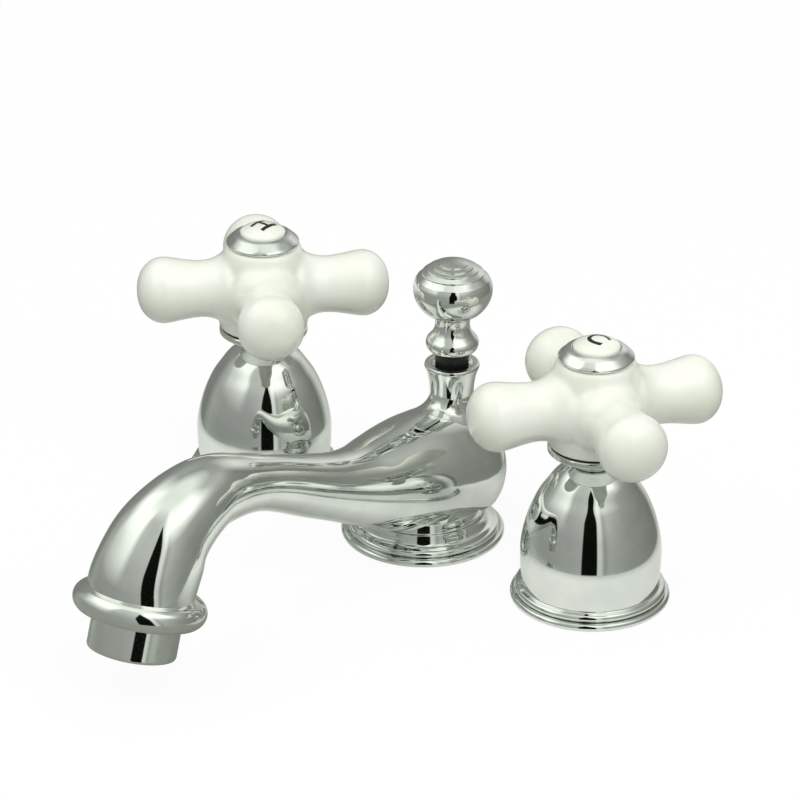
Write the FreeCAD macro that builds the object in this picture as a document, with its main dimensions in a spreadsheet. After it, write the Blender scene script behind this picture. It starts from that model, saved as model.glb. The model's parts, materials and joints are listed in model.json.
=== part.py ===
import FreeCAD, Part
import math
import os
import re

import Sketcher
from FreeCAD import Placement, Rotation, Vector

# Widespread lavatory faucet: a swan spout with a lift knob, between two porcelain cross handles.
# The origin is the middle of the spout's base on the deck, +Z up, +X towards the cold handle,
# and the spout reaches towards -Y. Every height is measured from the top of the deck.

SIZES = {
    # The deck and what clamps to it
    "handle_spread": 121.0,
    "deck_thickness": 25.0,
    "seat_washer_thickness": 3.0,
    "plate_washer_thickness": 1.4,
    "fit_clearance": 0.1,
    "running_clearance": 0.06,
    "loose_clearance": 0.3,
    "overrun": 1.0,
    # Bell over each valve
    "bell_radius": 19.4,
    "bell_shoulder_share": 0.995,
    "bell_shoulder_height": 20.0,
    "bell_height": 41.5,
    "bell_wall": 1.6,
    "bell_cove_height": 5.06,
    "bell_inner_height_share": 0.66,
    "bell_inner_radius_share": 0.79,
    "bell_foot_reach": 3.1,
    "bell_step_reach": 1.9,
    "foot_bead_height": 2.2,
    "bell_sleeve_wall": 2.0,
    "bell_sleeve_bottom": 13.0,
    "bell_sleeve_setdown": 8.16,
    "bell_crown_thickness": 2.4,
    "gasket_thickness": 1.2,
    "gasket_width": 2.8,
    # Valve body under each bell
    "shank_radius": 10.35,
    "relief_width": 2.0,
    "supply_thread_length": 11.0,
    "valve_top_share": 0.482,
    "valve_floor": 4.2,
    "chamber_wall": 1.45,
    "inlet_radius_share": 0.406,
    "inlet_offset_share": 0.251,
    "channel_radius_share": 0.213,
    "channel_offset_share": 0.696,
    "thread_chamfer": 0.9,
    "mounting_nut_across": 30.0,
    "mounting_nut_thickness": 8.0,
    "deck_washer_radius": 19.0,
    # Outlet nipple of each valve
    "nipple_gap": 13.6,
    "nipple_radius": 6.2,
    "nipple_collar_radius": 7.1,
    "nipple_collar_thickness": 2.6,
    "nipple_length": 11.0,
    "nipple_spigot_radius": 4.5,
    "nipple_spigot_length": 3.2,
    "nipple_bore_radius": 2.6,
    # Ceramic cartridge
    "barrel_gap": 0.9,
    "barrel_wall": 0.6,
    "barrel_bottom": 6.4,
    "stem_foot_clearance": 0.46,
    "bonnet_flange_thickness": 1.5,
    "bonnet_hex_share": 1.643,
    "bonnet_hex_thickness": 5.0,
    "bonnet_neck_radius": 5.2,
    "bonnet_setdown": 8.5,
    "window_radius": 1.6,
    "window_setdown": 1.8,
    "seal_width": 1.3,
    "fixed_disc_bottom": 7.0,
    "disc_thickness": 2.4,
    "disc_film": 0.02,
    "port_radius_share": 0.257,
    "port_offset_share": 0.527,
    # Stem
    "stem_radius": 3.8,
    "stem_foot_thickness": 2.4,
    "stem_rise": 3.6,
    "stem_groove_depth": 0.9,
    "stem_groove_width": 1.6,
    "stem_groove_rise": 2.8,
    "ring_section_radius": 0.42,
    "clip_radius": 5.2,
    "clip_thickness": 0.8,
    "spline_height": 8.0,
    "spline_groove_radius": 0.45,
    "screw_hole_depth": 10.0,
    # Chrome hub under the porcelain
    "hub_neck_radius": 5.9,
    "hub_sink": 0.5,
    "hub_neck_rise": 2.6,
    "saucer_radius": 12.9,
    "saucer_rise": 5.7,
    "saucer_rim_thickness": 1.5,
    "saucer_rim_edge": 0.3,
    "hub_sleeve_radius": 6.0,
    "hub_setdown": 1.7,
    "hub_web_thickness": 2.8,
    "well_clearance": 0.5,
    "cushion_thickness": 0.6,
    # Handle screw
    "screw_radius": 2.3,
    "screw_head_radius": 4.1,
    "screw_head_thickness": 3.0,
    "screw_rim_thickness": 1.8,
    "screw_length": 11.5,
    "screw_slot_width": 1.0,
    "screw_slot_depth": 1.3,
    # Porcelain cross
    "porcelain_radius": 13.0,
    "porcelain_top_radius": 10.7,
    "porcelain_height": 26.5,
    "arm_height_share": 0.483,
    "arm_waist_radius": 8.3,
    "arm_ball_radius": 9.8,
    "arm_ball_reach": 29.65,
    "arm_tip_reach": 36.9,
    "arm_nose_reach_share": 0.7,
    "arm_nose_radius_share": 0.714,
    "arm_shoulder_reach_share": 0.83,
    "arm_shoulder_radius_share": 0.92,
    "arm_fillet": 9.0,
    "glaze_edge": 1.2,
    "glaze_foot_edge": 0.5,
    # Index bezel and button
    "bezel_radius": 10.6,
    "bezel_height": 3.8,
    "bezel_crest_width": 0.38,
    "bezel_lip_drop": 0.38,
    "bezel_skirt_wall": 1.6,
    "bezel_skirt_length": 7.2,
    "button_lap": 0.6,
    "button_seat_rise": 0.9,
    "button_edge_rise": 4.0,
    "button_crown_rise": 6.1,
    # Spout: its path, bulb, neck and base
    "spout_reach": 124.4,
    "outlet_height": 13.65,
    "crown_height": 48.9,
    "bulb_radius": 18.3,
    "bulb_setback": 9.3,
    "bulb_height": 17.3,
    "bulb_root_radius": 11.7,
    "bulb_root_length": 40.2,
    "bulb_shoulder_length_share": 0.6,
    "bulb_shoulder_radius_share": 0.59,
    "neck_setback": 12.75,
    "neck_radius": 6.35,
    "neck_rise": 12.8,
    "neck_waist_share": 0.461,
    "collar_flare": 1.59,
    "collar_lip": 1.0,
    "collar_lip_width": 0.6,
    "collar_rim": 1.74,
    "collar_mouth_depth": 4.0,
    "neck_fillet": 4.5,
    "knob_bore_clearance": 0.4,
    "knob_seat_height": 30.0,
    "bush_height": 6.0,
    "rod_hole_radius": 2.9,
    "waist_step": 0.6,
    "waist_height": 3.2,
    "spigot_step": 1.6,
    "spigot_bottom": 1.6,
    "water_radius": 4.9,
    # Spout flange
    "flange_reach": 5.4,
    "flange_step_reach": 3.7,
    "flange_cove_reach": 1.4,
    "flange_top_radius": 18.2,
    "flange_height": 7.6,
    "flange_second_bead": 1.9,
    # Spout shank and its hardware
    "spout_shank_setback": -4.0,
    "spout_shank_radius": 8.0,
    "spout_thread_spare": 8.6,
    "spout_shank_top": 15.0,
    "spout_shank_bore": 4.6,
    "spout_washer_radius": 20.0,
    "spout_nut_across": 20.4,
    "spout_nut_thickness": 7.0,
    "rod_notch_radius": 3.4,
    # Outlet bead and aerator, measured along the outlet's own axis from its end
    "outlet_bead_radius": 3.57,
    "outlet_bead_pitch": 14.75,
    "outlet_bead_rise": 13.3,
    "outlet_rim_share": 0.79,
    "outlet_rim_margin": 0.35,
    "aerator_step": 1.55,
    "outlet_socket_rise": 6.3,
    "aerator_radius": 12.25,
    "aerator_edge": 0.6,
    "aerator_wall": 1.1,
    "aerator_lip": 1.2,
    "screen_thickness": 0.5,
    "screen_hole_radius": 0.75,
    "insert_thickness": 10.0,
    "insert_hole_radius": 1.3,
    "insert_pitch_share": 0.62,
    "aerator_washer_thickness": 1.6,
    "aerator_washer_width": 3.2,
    # Lift knob and rod
    "knob_stem_radius": 4.4,
    "knob_bead_radius": 7.63,
    "knob_bead_rise": 6.3,
    "knob_bead_half": 2.6,
    "knob_bead_low_share": 0.8,
    "knob_bead_high_share": 0.78,
    "knob_waist_radius": 4.95,
    "knob_waist_rise": 12.4,
    "knob_ball_radius": 11.2,
    "knob_ball_rise": 22.7,
    "knob_ball_bottom_rise": 15.2,
    "knob_top_rise": 31.6,
    "knob_step": 0.45,
    "knob_step_radius": 7.2,
    "rod_radius": 2.4,
    "rod_drop": 66.0,
    "rod_grip": 16.0,
    "rod_groove_width": 1.0,
    "rod_end_length": 11.0,
}

# Sizes that follow from the ones above, so that a change to one carries its neighbours along
DERIVED = {
    "bell_shoulder_radius": "bell_radius * bell_shoulder_share",
    "bell_foot_radius": "bell_radius + bell_foot_reach",
    "bell_step_radius": "bell_radius + bell_step_reach",
    "nipple_drop": "deck_thickness + seat_washer_thickness + plate_washer_thickness"
                   " + mounting_nut_thickness + nipple_gap",
    "shank_drop": "nipple_drop + nipple_collar_radius + relief_width + supply_thread_length"
                  " + thread_chamfer",
    "valve_top": "bell_height * valve_top_share",
    "chamber_radius": "shank_radius - chamber_wall",
    "inlet_radius": "shank_radius * inlet_radius_share",
    "inlet_offset": "shank_radius * inlet_offset_share",
    "channel_radius": "shank_radius * channel_radius_share",
    "channel_offset": "shank_radius * channel_offset_share",
    "barrel_radius": "chamber_radius - barrel_gap",
    "barrel_bore_radius": "barrel_radius - barrel_wall",
    "stem_foot_bottom": "fixed_disc_bottom + disc_thickness * 2 + disc_film * 2",
    "moving_disc_radius": "barrel_bore_radius - fit_clearance * 4",
    "barrel_ceiling": "stem_foot_bottom + stem_foot_thickness + stem_foot_clearance",
    "bonnet_hex_across": "shank_radius * bonnet_hex_share",
    "bonnet_top": "bell_height - bonnet_setdown",
    "window_height": "barrel_ceiling - window_setdown",
    "seal_inner_radius": "barrel_bore_radius - fit_clearance - seal_width",
    "port_radius": "barrel_bore_radius * port_radius_share",
    "port_offset": "barrel_bore_radius * port_offset_share",
    "stem_groove_height": "valve_top + stem_groove_rise",
    "hub_bottom": "bell_height - hub_sink",
    "hub_neck_top": "bell_height + hub_neck_rise",
    "saucer_top": "bell_height + saucer_rise",
    "stem_top": "saucer_top + stem_rise",
    "porcelain_top": "saucer_top + porcelain_height",
    "hub_top": "porcelain_top - hub_setdown",
    "hub_well_radius": "screw_head_radius + well_clearance",
    "arm_height": "saucer_top + porcelain_height * arm_height_share",
    "porcelain_well_radius": "hub_sleeve_radius + fit_clearance + bezel_skirt_wall + loose_clearance",
    "porcelain_well_depth": "bezel_skirt_length + well_clearance",
    "button_radius": "hub_sleeve_radius + button_lap",
    "button_bottom": "porcelain_top + button_seat_rise",
    "button_edge": "porcelain_top + button_edge_rise",
    "button_crown": "porcelain_top + button_crown_rise",
    "bulb_top": "bulb_height + bulb_radius",
    "neck_foot_height": "bulb_height + bulb_root_radius / 2",
    "neck_waist_height": "bulb_top + neck_rise * neck_waist_share",
    "collar_height": "bulb_top + neck_rise",
    "collar_top": "collar_height + collar_lip",
    "collar_radius": "neck_radius + collar_flare",
    "collar_mouth_radius": "collar_radius - collar_rim",
    "knob_bore_radius": "knob_stem_radius + knob_bore_clearance",
    "waist_radius": "flange_top_radius - waist_step",
    "spigot_radius": "flange_top_radius - spigot_step",
    "flange_radius": "flange_top_radius + flange_reach",
    "flange_step_radius": "flange_top_radius + flange_step_reach",
    "flange_cove_radius": "flange_top_radius + flange_cove_reach",
    "spout_shank_drop": "deck_thickness + seat_washer_thickness + plate_washer_thickness"
                        " + spout_nut_thickness + spout_thread_spare + relief_width"
                        " + supply_thread_length",
    "outlet_rim_radius": "aerator_radius + outlet_rim_margin",
    "outlet_rim_rise": "outlet_bead_rise - outlet_bead_radius * outlet_rim_share",
    "outlet_socket_top": "outlet_bead_rise + outlet_socket_rise",
    "aerator_bore_radius": "outlet_socket_radius - aerator_wall - fit_clearance * 2",
    "outlet_socket_radius": "aerator_radius - aerator_step",
    "knob_bead_height": "collar_top + knob_bead_rise",
    "knob_waist_height": "collar_top + knob_waist_rise",
    "knob_ball_bottom": "collar_top + knob_ball_bottom_rise",
    "knob_ball_height": "collar_top + knob_ball_rise",
    "knob_top": "collar_top + knob_top_rise",
    "rod_top": "knob_seat_height + rod_grip",
}

# Tilts and turns in degrees
OUTLET_TILT = -17.0
BULB_TILT = -13.0
HOT_ARM_TURN = 45.3
COLD_ARM_TURN = 57.4
OUTLET_SWING = 30.0

# Stations along the spout, from the outlet bead back to the bulb. Each holds its share of the way
# from the bulb's root out to the outlet, its share of the climb to the crown, its radius as a share
# of the bead's pitch or of the root's radius, and the tilt of its section in degrees. The front
# ones climb from the outlet, the rear ones from the bulb's root.
FRONT_STATION_SHARES = (
    (0.9587, 0.3617, 1.0000, 73.0),
    (0.9460, 0.5206, 1.0000, 67.0),
    (0.8937, 0.7305, 0.9559, 52.0),
    (0.8392, 0.8723, 0.8712, 34.8),
    (0.7292, 0.9830, 0.7593, 12.5),
    (0.6287, 0.9915, 0.6698, -6.5),
)
REAR_STATION_SHARES = (
    (0.4425, 0.7717, 0.6795, -20.9),
    (0.2161, 0.3527, 0.7667, -24.5),
    (0.1072, 0.1621, 0.8444, -19.0),
)
WATER_END_SHARE = 0.1

# Rings on the knob's crown: each one's share of the first ring's radius, and of the crown's height
KNOB_STEP_SHARES = ((1.0, 0.78), (0.77, 0.86), (0.54, 0.94))
# Rows of holes in the aerator's screen: share of its radius, and how many holes
SCREEN_ROW_SHARES = ((0.75, 12), (0.45, 7))
INSERT_HOLES = 8
SPLINES = 12
# How an edge of the neck's foot is told: within this share of the neck's radius, longer than this
# share of it, and rising by less than this share of its width
NECK_NEAR_SHARE = 1.3
NECK_LONG_SHARE = 0.33
NECK_FLAT_SHARE = 0.9

DOME = "dome"

doc = FreeCAD.newDocument("widespread_faucet")
sheet = doc.addObject("Spreadsheet::Sheet", "Sizes")
for row, (name, value) in enumerate(SIZES.items(), start=1):
    sheet.set("A%d" % row, name)
    sheet.set("B%d" % row, str(value))
    sheet.setAlias("B%d" % row, name)
doc.recompute()

finished = []


def spelt(found):
    """Return what one word of an expression stands for: a cell, or a derived size spelt out."""
    word = found.group(0)
    if word in DERIVED:
        return "(" + bound(DERIVED[word]) + ")"
    return "Sizes." + word if word in SIZES else word


def bound(text):
    """Return an expression with each named size pointing at its cell."""
    return re.sub(r"[a-z][a-z_]+", spelt, text)


def number(text):
    """Return what an expression of named sizes is worth now."""
    return float(sheet.evalExpression(bound(text)))


def place(piece, x="0", y="0", z="0", turn=0.0, axis=(0, 0, 1), swing=0.0):
    """Put a piece at named distances, turned about one axis and then swung about the upright."""
    turned_by = Rotation(Vector(0, 0, 1), swing) * Rotation(Vector(*axis), turn)
    piece.Placement = Placement(Vector(number(x), number(y), number(z)), turned_by)
    for key, text in (("x", x), ("y", y), ("z", z)):
        if text != "0":
            piece.setExpression("Placement.Base." + key, bound(text))
    return piece


def keep(piece, label):
    """Name a finished sub-part, which becomes a file of its own."""
    piece.Label = label
    finished.append(piece)
    return piece


def between(start, end, share):
    """Return the expression for a place at a share of the way from one size to another."""
    return "(%s) + ((%s) - (%s)) * %.4f" % (start, end, start, share)


def plane_of(body, role):
    """Return one of a body's own origin planes or axes."""
    return [item for item in body.Origin.OriginFeatures if item.Role == role][0]


def sketch_in(body, name, role="XZ_Plane", across="0", up="0", out="0", tilt=0.0, spin=0.0):
    """Return a sketch on a body's origin plane, shifted by named sizes, tilted about X, spun in place."""
    sketch = body.newObject("Sketcher::SketchObject", name)
    sketch.AttachmentSupport = [(plane_of(body, role), "")]
    sketch.MapMode = "FlatFace"
    shift = Vector(number(across), number(up), number(out))
    turn = Rotation(Vector(1, 0, 0), tilt) * Rotation(Vector(0, 0, 1), spin)
    sketch.AttachmentOffset = Placement(shift, turn)
    for key, text in (("x", across), ("y", up), ("z", out)):
        if text != "0":
            sketch.setExpression("AttachmentOffset.Base." + key, bound(text))
    return sketch


def pin_corner(sketch, edge, end, across, up):
    """Hold one corner of an outline at named distances from the sketch's origin."""
    for kind, text, axis in (("DistanceX", across, -2), ("DistanceY", up, -1)):
        if text == "0":
            sketch.addConstraint(Sketcher.Constraint("PointOnObject", edge, end, axis))
            continue
        index = sketch.addConstraint(Sketcher.Constraint(kind, -1, 1, edge, end, number(text)))
        sketch.setExpression("Constraints[%d]" % index, bound(text))


def rise_share(before, corner):
    """Return an arc's rise as a share of half its chord; a dome meets the axis squarely."""
    if corner[2] != DOME:
        return corner[2]
    across = number(before[0]) - number(corner[0])
    up = number(corner[1]) - number(before[1])
    return math.tan(math.atan2(up, across) / 2)


def draw_outline(sketch, corners):
    """Draw a closed outline through corners, anticlockwise.

    A corner holds two distances, and a third value where the edge that ends there is an arc: the
    arc's rise as a share of half its chord, positive where it swells out to the right. A dome is
    an arc whose centre lies on the axis that its last corner is on.
    """
    ends = []
    for index, corner in enumerate(corners):
        before = corners[index - 1]
        first = Vector(number(before[0]), number(before[1]), 0)
        last = Vector(number(corner[0]), number(corner[1]), 0)
        if len(corner) == 2:
            sketch.addGeometry(Part.LineSegment(first, last), False)
            ends.append((1, 2))
            continue
        share = rise_share(before, corner)
        chord = last - first
        normal = Vector(chord.y, -chord.x, 0).normalize()
        middle = (first + last) / 2 + normal * (chord.Length / 2 * share)
        arc = Part.Arc(first, middle, last)
        sketch.addGeometry(arc, False)
        ends.append((1, 2) if share > 0 else (2, 1))
    count = len(corners)
    for index in range(count):
        after = (index + 1) % count
        sketch.addConstraint(Sketcher.Constraint("Coincident", index, ends[index][1], after, ends[after][0]))
    for index, corner in enumerate(corners):
        pin_corner(sketch, index, ends[index][1], corner[0], corner[1])
        if len(corner) == 2:
            continue
        if corner[2] == DOME:
            sketch.addConstraint(Sketcher.Constraint("PointOnObject", index, 3, -2))
            continue
        before = corners[index - 1]
        share = abs(corner[2])
        chord = "sqrt(((%s) - (%s))^2 + ((%s) - (%s))^2)" % (corner[0], before[0], corner[1], before[1])
        text = "%s * %.9f" % (chord, (1 + share * share) / (4 * share))
        radius = Sketcher.Constraint("Radius", index, number(text))
        sketch.setExpression("Constraints[%d]" % sketch.addConstraint(radius), bound(text))


def revolve(body, name, corners, kind="PartDesign::Revolution", about="V_Axis", angle=360.0, **frame):
    """Turn an outline about its sketch's axis, as material or as a groove."""
    sketch = sketch_in(body, name + "_outline", **frame)
    draw_outline(sketch, corners)
    feature = body.newObject(kind, name)
    feature.Profile = sketch
    feature.ReferenceAxis = (sketch, [about])
    feature.Angle = angle
    return feature


def turned(name, corners):
    """Return a body turned about its own Z axis."""
    body = doc.addObject("PartDesign::Body", name)
    revolve(body, name + "_turn", corners)
    return body


def ring(name, inner, outer, bottom, top):
    """Return a plain washer or bush."""
    return turned(name, ((inner, bottom), (outer, bottom), (outer, top), (inner, top)))


def rod(name, radius, length, x="0", y="0", z="0", turn=0.0, axis=(0, 0, 1)):
    """Return a round bar that starts at a named place and runs along its own Z."""
    bar = doc.addObject("Part::Cylinder", name)
    bar.setExpression("Radius", bound(radius))
    bar.setExpression("Height", bound(length))
    return place(bar, x, y, z, turn, axis)


def hexagon(name, across, thickness, bottom):
    """Return a hexagonal bar by its width across flats."""
    bar = doc.addObject("Part::Prism", name)
    bar.Polygon = 6
    bar.setExpression("Circumradius", bound("(%s) / sqrt(3)" % across))
    bar.setExpression("Height", bound(thickness))
    return place(bar, z=bottom)


def cut(name, base, tools):
    """Return the base with every tool taken out of it."""
    tool = tools[0]
    if len(tools) > 1:
        tool = doc.addObject("Part::MultiFuse", name + "_tools")
        tool.Shapes = tools
    result = doc.addObject("Part::Cut", name)
    result.Base = base
    result.Tool = tool
    return result


def common(name, first, second):
    """Return what two shapes share."""
    result = doc.addObject("Part::MultiCommon", name)
    result.Shapes = [first, second]
    return result


def fuse(name, shapes):
    """Return several shapes as one."""
    result = doc.addObject("Part::MultiFuse", name)
    result.Shapes = shapes
    return result


def perforate(body, name, radius, pitch, count, top, depth):
    """Drill a ring of holes down through a body and make their pattern its tip."""
    doc.recompute()
    before = body.Shape.Volume
    sketch = sketch_in(body, name + "_circle", role="XY_Plane", out=top)
    sketch.addGeometry(Part.Circle(Vector(number(pitch), 0, 0), Vector(0, 0, 1), number(radius)), False)
    pin_corner(sketch, 0, 3, pitch, "0")
    index = sketch.addConstraint(Sketcher.Constraint("Radius", 0, number(radius)))
    sketch.setExpression("Constraints[%d]" % index, bound(radius))
    pocket = body.newObject("PartDesign::Pocket", name)
    pocket.Profile = sketch
    pocket.setExpression("Length", bound(depth))
    pattern = body.newObject("PartDesign::PolarPattern", name + "_ring")
    pattern.Originals = [pocket]
    pattern.Axis = (plane_of(body, "Z_Axis"), [""])
    pattern.Occurrences = count
    body.Tip = pattern
    doc.recompute()
    if body.Shape.Volume >= before:
        raise ValueError(name + " cuts nothing")


def hex_nut(name, across, hole, thickness, bottom):
    """Return a nut whose corners are eased top and bottom."""
    corner = "(%s) / sqrt(3)" % across
    inset = "(%s) / 2" % across
    top = "%s + %s" % (bottom, thickness)
    rise = "((%s) - (%s)) / 2" % (corner, inset)
    blank = turned(name + "_blank", (
        (hole + " + thread_chamfer", bottom),
        (inset, bottom),
        (corner, "%s + %s" % (bottom, rise)),
        (corner, "%s - (%s)" % (top, rise)),
        (inset, top),
        (hole + " + thread_chamfer", top),
        (hole, top + " - thread_chamfer"),
        (hole, bottom + " + thread_chamfer")))
    return common(name, blank, hexagon(name + "_flats", across, thickness, bottom))


# What each side of the faucet holds: its own sign on X, and the turn of its cross at rest
SIDES = (("hot", "-", HOT_ARM_TURN), ("cold", "", COLD_ARM_TURN))

UNDER_DECK = "0 - deck_thickness"
UNDER_SEAT = "0 - deck_thickness - seat_washer_thickness"
UNDER_PLATE = "0 - deck_thickness - seat_washer_thickness - plate_washer_thickness"


def make_bell(name):
    """The domed escutcheon, with the threaded sleeve that draws it down on the valve."""
    sleeve = "shank_radius + fit_clearance"
    inner = "bell_radius - bell_wall"
    rebate = "bell_radius - bell_wall + gasket_width"
    hole = "hub_neck_radius + loose_clearance"
    return turned(name, (
        (rebate, "0"),
        ("bell_foot_radius - foot_bead_height / 4", "0"),
        ("bell_foot_radius - foot_bead_height / 4", "foot_bead_height", 0.5),
        ("bell_step_radius - foot_bead_height / 4", "foot_bead_height"),
        ("bell_step_radius - foot_bead_height / 4", "foot_bead_height * 2", 0.5),
        ("bell_radius", "bell_cove_height", -0.3),
        ("bell_shoulder_radius", "bell_shoulder_height", 0.07),
        (hole, "bell_height", 0.2),
        (hole, "bell_height - bell_crown_thickness"),
        (sleeve, "bell_height - bell_sleeve_setdown"),
        (sleeve, "bell_sleeve_bottom"),
        (sleeve + " + bell_sleeve_wall", "bell_sleeve_bottom"),
        (sleeve + " + bell_sleeve_wall", "bell_height * bell_inner_height_share"),
        ("bell_radius * bell_inner_radius_share", "bell_height * bell_inner_height_share"),
        ("bell_shoulder_radius - bell_wall", "bell_shoulder_height", -0.06),
        (inner, "gasket_thickness", -0.05),
        (rebate, "gasket_thickness")))


def make_valve_body(name, toward):
    """The brass body: a threaded shank with an inlet, a return channel and the cartridge chamber."""
    bottom = "0 - shank_drop"
    relief = bottom + " + thread_chamfer + supply_thread_length"
    blank = turned(name + "_blank", (
        ("0", bottom),
        ("shank_radius - thread_chamfer", bottom),
        ("shank_radius", bottom + " + thread_chamfer"),
        ("shank_radius", relief),
        ("shank_radius - thread_chamfer", relief),
        ("shank_radius - thread_chamfer", relief + " + relief_width"),
        ("shank_radius", relief + " + relief_width"),
        ("shank_radius", "valve_top"),
        ("chamber_radius", "valve_top"),
        ("chamber_radius", "valve_floor"),
        ("0", "valve_floor")))
    inlet = rod(name + "_inlet", "inlet_radius", "shank_drop + valve_floor + overrun * 2",
                x="0 - inlet_offset * %d" % toward, z=bottom + " - overrun")
    channel = rod(name + "_channel", "channel_radius", "nipple_drop + barrel_bottom",
                  x="channel_offset * %d" % toward, z="0 - nipple_drop")
    side = rod(name + "_side", "nipple_spigot_radius + fit_clearance",
               "shank_radius - channel_offset + overrun * 3",
               x="(channel_offset - overrun) * %d" % toward, z="0 - nipple_drop",
               turn=90.0 * toward, axis=(0, 1, 0))
    return cut(name, blank, [inlet, channel, side])


def make_nipple(name):
    """The outlet that screws into the side of the shank, turned about its own axis."""
    start = "shank_radius - nipple_spigot_length"
    collar = "shank_radius + fit_clearance"
    thread = "shank_radius + fit_clearance + nipple_collar_thickness"
    return turned(name, (
        ("nipple_bore_radius", start),
        ("nipple_spigot_radius", start),
        ("nipple_spigot_radius", collar),
        ("nipple_collar_radius", collar),
        ("nipple_collar_radius", thread),
        ("nipple_radius", thread),
        ("nipple_radius", thread + " + nipple_length - thread_chamfer"),
        ("nipple_radius - thread_chamfer", thread + " + nipple_length"),
        ("nipple_bore_radius", thread + " + nipple_length")))


def make_cartridge(name):
    """The bonnet that screws into the valve body, with the barrel that holds the discs."""
    hex_bottom = "valve_top + bonnet_flange_thickness"
    bore = "stem_radius + running_clearance"
    barrel = turned(name + "_barrel", (
        ("barrel_bore_radius", "barrel_bottom"),
        ("barrel_radius", "barrel_bottom"),
        ("barrel_radius", "valve_top - bonnet_flange_thickness"),
        ("chamber_radius - fit_clearance", "valve_top - bonnet_flange_thickness"),
        ("chamber_radius - fit_clearance", "valve_top"),
        ("shank_radius - fit_clearance", "valve_top"),
        ("shank_radius - fit_clearance", hex_bottom),
        ("bonnet_neck_radius", hex_bottom),
        ("bonnet_neck_radius", "bonnet_top"),
        (bore, "bonnet_top"),
        (bore, "barrel_ceiling"),
        ("barrel_bore_radius", "barrel_ceiling")))
    core = rod(name + "_core", "(bonnet_neck_radius + stem_radius) / 2",
               "bonnet_hex_thickness + overrun * 2", z=hex_bottom + " - overrun")
    prism = hexagon(name + "_flats", "bonnet_hex_across", "bonnet_hex_thickness", hex_bottom)
    flats = cut(name + "_hex", prism, [core])
    window = rod(name + "_window", "window_radius", "barrel_radius * 2 + overrun * 2",
                 y="barrel_radius + overrun", z="window_height", turn=90.0, axis=(1, 0, 0))
    return cut(name, fuse(name + "_solid", [barrel, flats]), [window])


def make_disc(name, bottom, radius, turn):
    """A ceramic disc with two ports, a quarter turn apart between the fixed and the moving one."""
    blank = ring(name + "_blank", "0", radius, bottom, bottom + " + disc_thickness")
    ports = []
    for index, side in enumerate((1, -1)):
        ports.append(rod("%s_port%d" % (name, index), "port_radius", "disc_thickness + overrun * 2",
                         x="port_offset * %.6f" % (side * math.cos(math.radians(turn))),
                         y="port_offset * %.6f" % (side * math.sin(math.radians(turn))),
                         z=bottom + " - overrun"))
    return cut(name, blank, ports)


def make_stem(name):
    """The stem: a foot that turns the moving disc, a seal groove, a clip groove and a splined head."""
    clip = "bonnet_top + running_clearance"
    body = turned(name, (
        ("0", "stem_foot_bottom"),
        ("moving_disc_radius", "stem_foot_bottom"),
        ("moving_disc_radius", "stem_foot_bottom + stem_foot_thickness"),
        ("stem_radius", "stem_foot_bottom + stem_foot_thickness"),
        ("stem_radius", "stem_groove_height"),
        ("stem_radius - stem_groove_depth", "stem_groove_height"),
        ("stem_radius - stem_groove_depth", "stem_groove_height + stem_groove_width"),
        ("stem_radius", "stem_groove_height + stem_groove_width"),
        ("stem_radius", clip),
        ("stem_radius - stem_groove_depth / 2", clip),
        ("stem_radius - stem_groove_depth / 2", clip + " + clip_thickness + fit_clearance"),
        ("stem_radius", clip + " + clip_thickness + fit_clearance"),
        ("stem_radius", "stem_top"),
        ("screw_radius + fit_clearance", "stem_top"),
        ("screw_radius + fit_clearance", "stem_top - screw_hole_depth"),
        ("0", "stem_top - screw_hole_depth")))
    perforate(body, name + "_spline", "spline_groove_radius", "stem_radius", SPLINES, "stem_top",
              "spline_height")
    return body


def make_hub(name):
    """The chrome hub: a neck into the bell, a saucer under the porcelain and a sleeve up through it."""
    bore = "stem_radius + fit_clearance"
    web_top = "stem_top + hub_web_thickness"
    return turned(name, (
        (bore, "hub_bottom"),
        ("hub_neck_radius", "hub_bottom"),
        ("hub_neck_radius", "hub_neck_top"),
        ("saucer_radius - saucer_rim_edge", "saucer_top - saucer_rim_thickness", -0.2),
        ("saucer_radius", "saucer_top - saucer_rim_thickness + saucer_rim_edge", 0.41),
        ("saucer_radius", "saucer_top - saucer_rim_edge"),
        ("saucer_radius - saucer_rim_edge", "saucer_top", 0.41),
        ("hub_sleeve_radius", "saucer_top"),
        ("hub_sleeve_radius", "hub_top"),
        ("hub_well_radius", "hub_top"),
        ("hub_well_radius", web_top),
        ("screw_radius + loose_clearance", web_top),
        ("screw_radius + loose_clearance", "stem_top"),
        (bore, "stem_top")))


def make_screw(name):
    """The slotted screw that holds the handle down on its stem."""
    seat = "stem_top + hub_web_thickness"
    body = turned(name + "_blank", (
        ("0", seat + " - screw_length"),
        ("screw_radius", seat + " - screw_length"),
        ("screw_radius", seat),
        ("screw_head_radius", seat),
        ("screw_head_radius", seat + " + screw_rim_thickness"),
        ("0", seat + " + screw_head_thickness", DOME)))
    slot = doc.addObject("Part::Box", name + "_slot")
    slot.setExpression("Length", bound("screw_head_radius * 2 + overrun * 2"))
    slot.setExpression("Width", bound("screw_slot_width"))
    slot.setExpression("Height", bound("screw_slot_depth + overrun"))
    place(slot, "0 - screw_head_radius - overrun", "0 - screw_slot_width / 2",
          seat + " + screw_head_thickness - screw_slot_depth")
    return cut(name, body, [slot])


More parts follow.
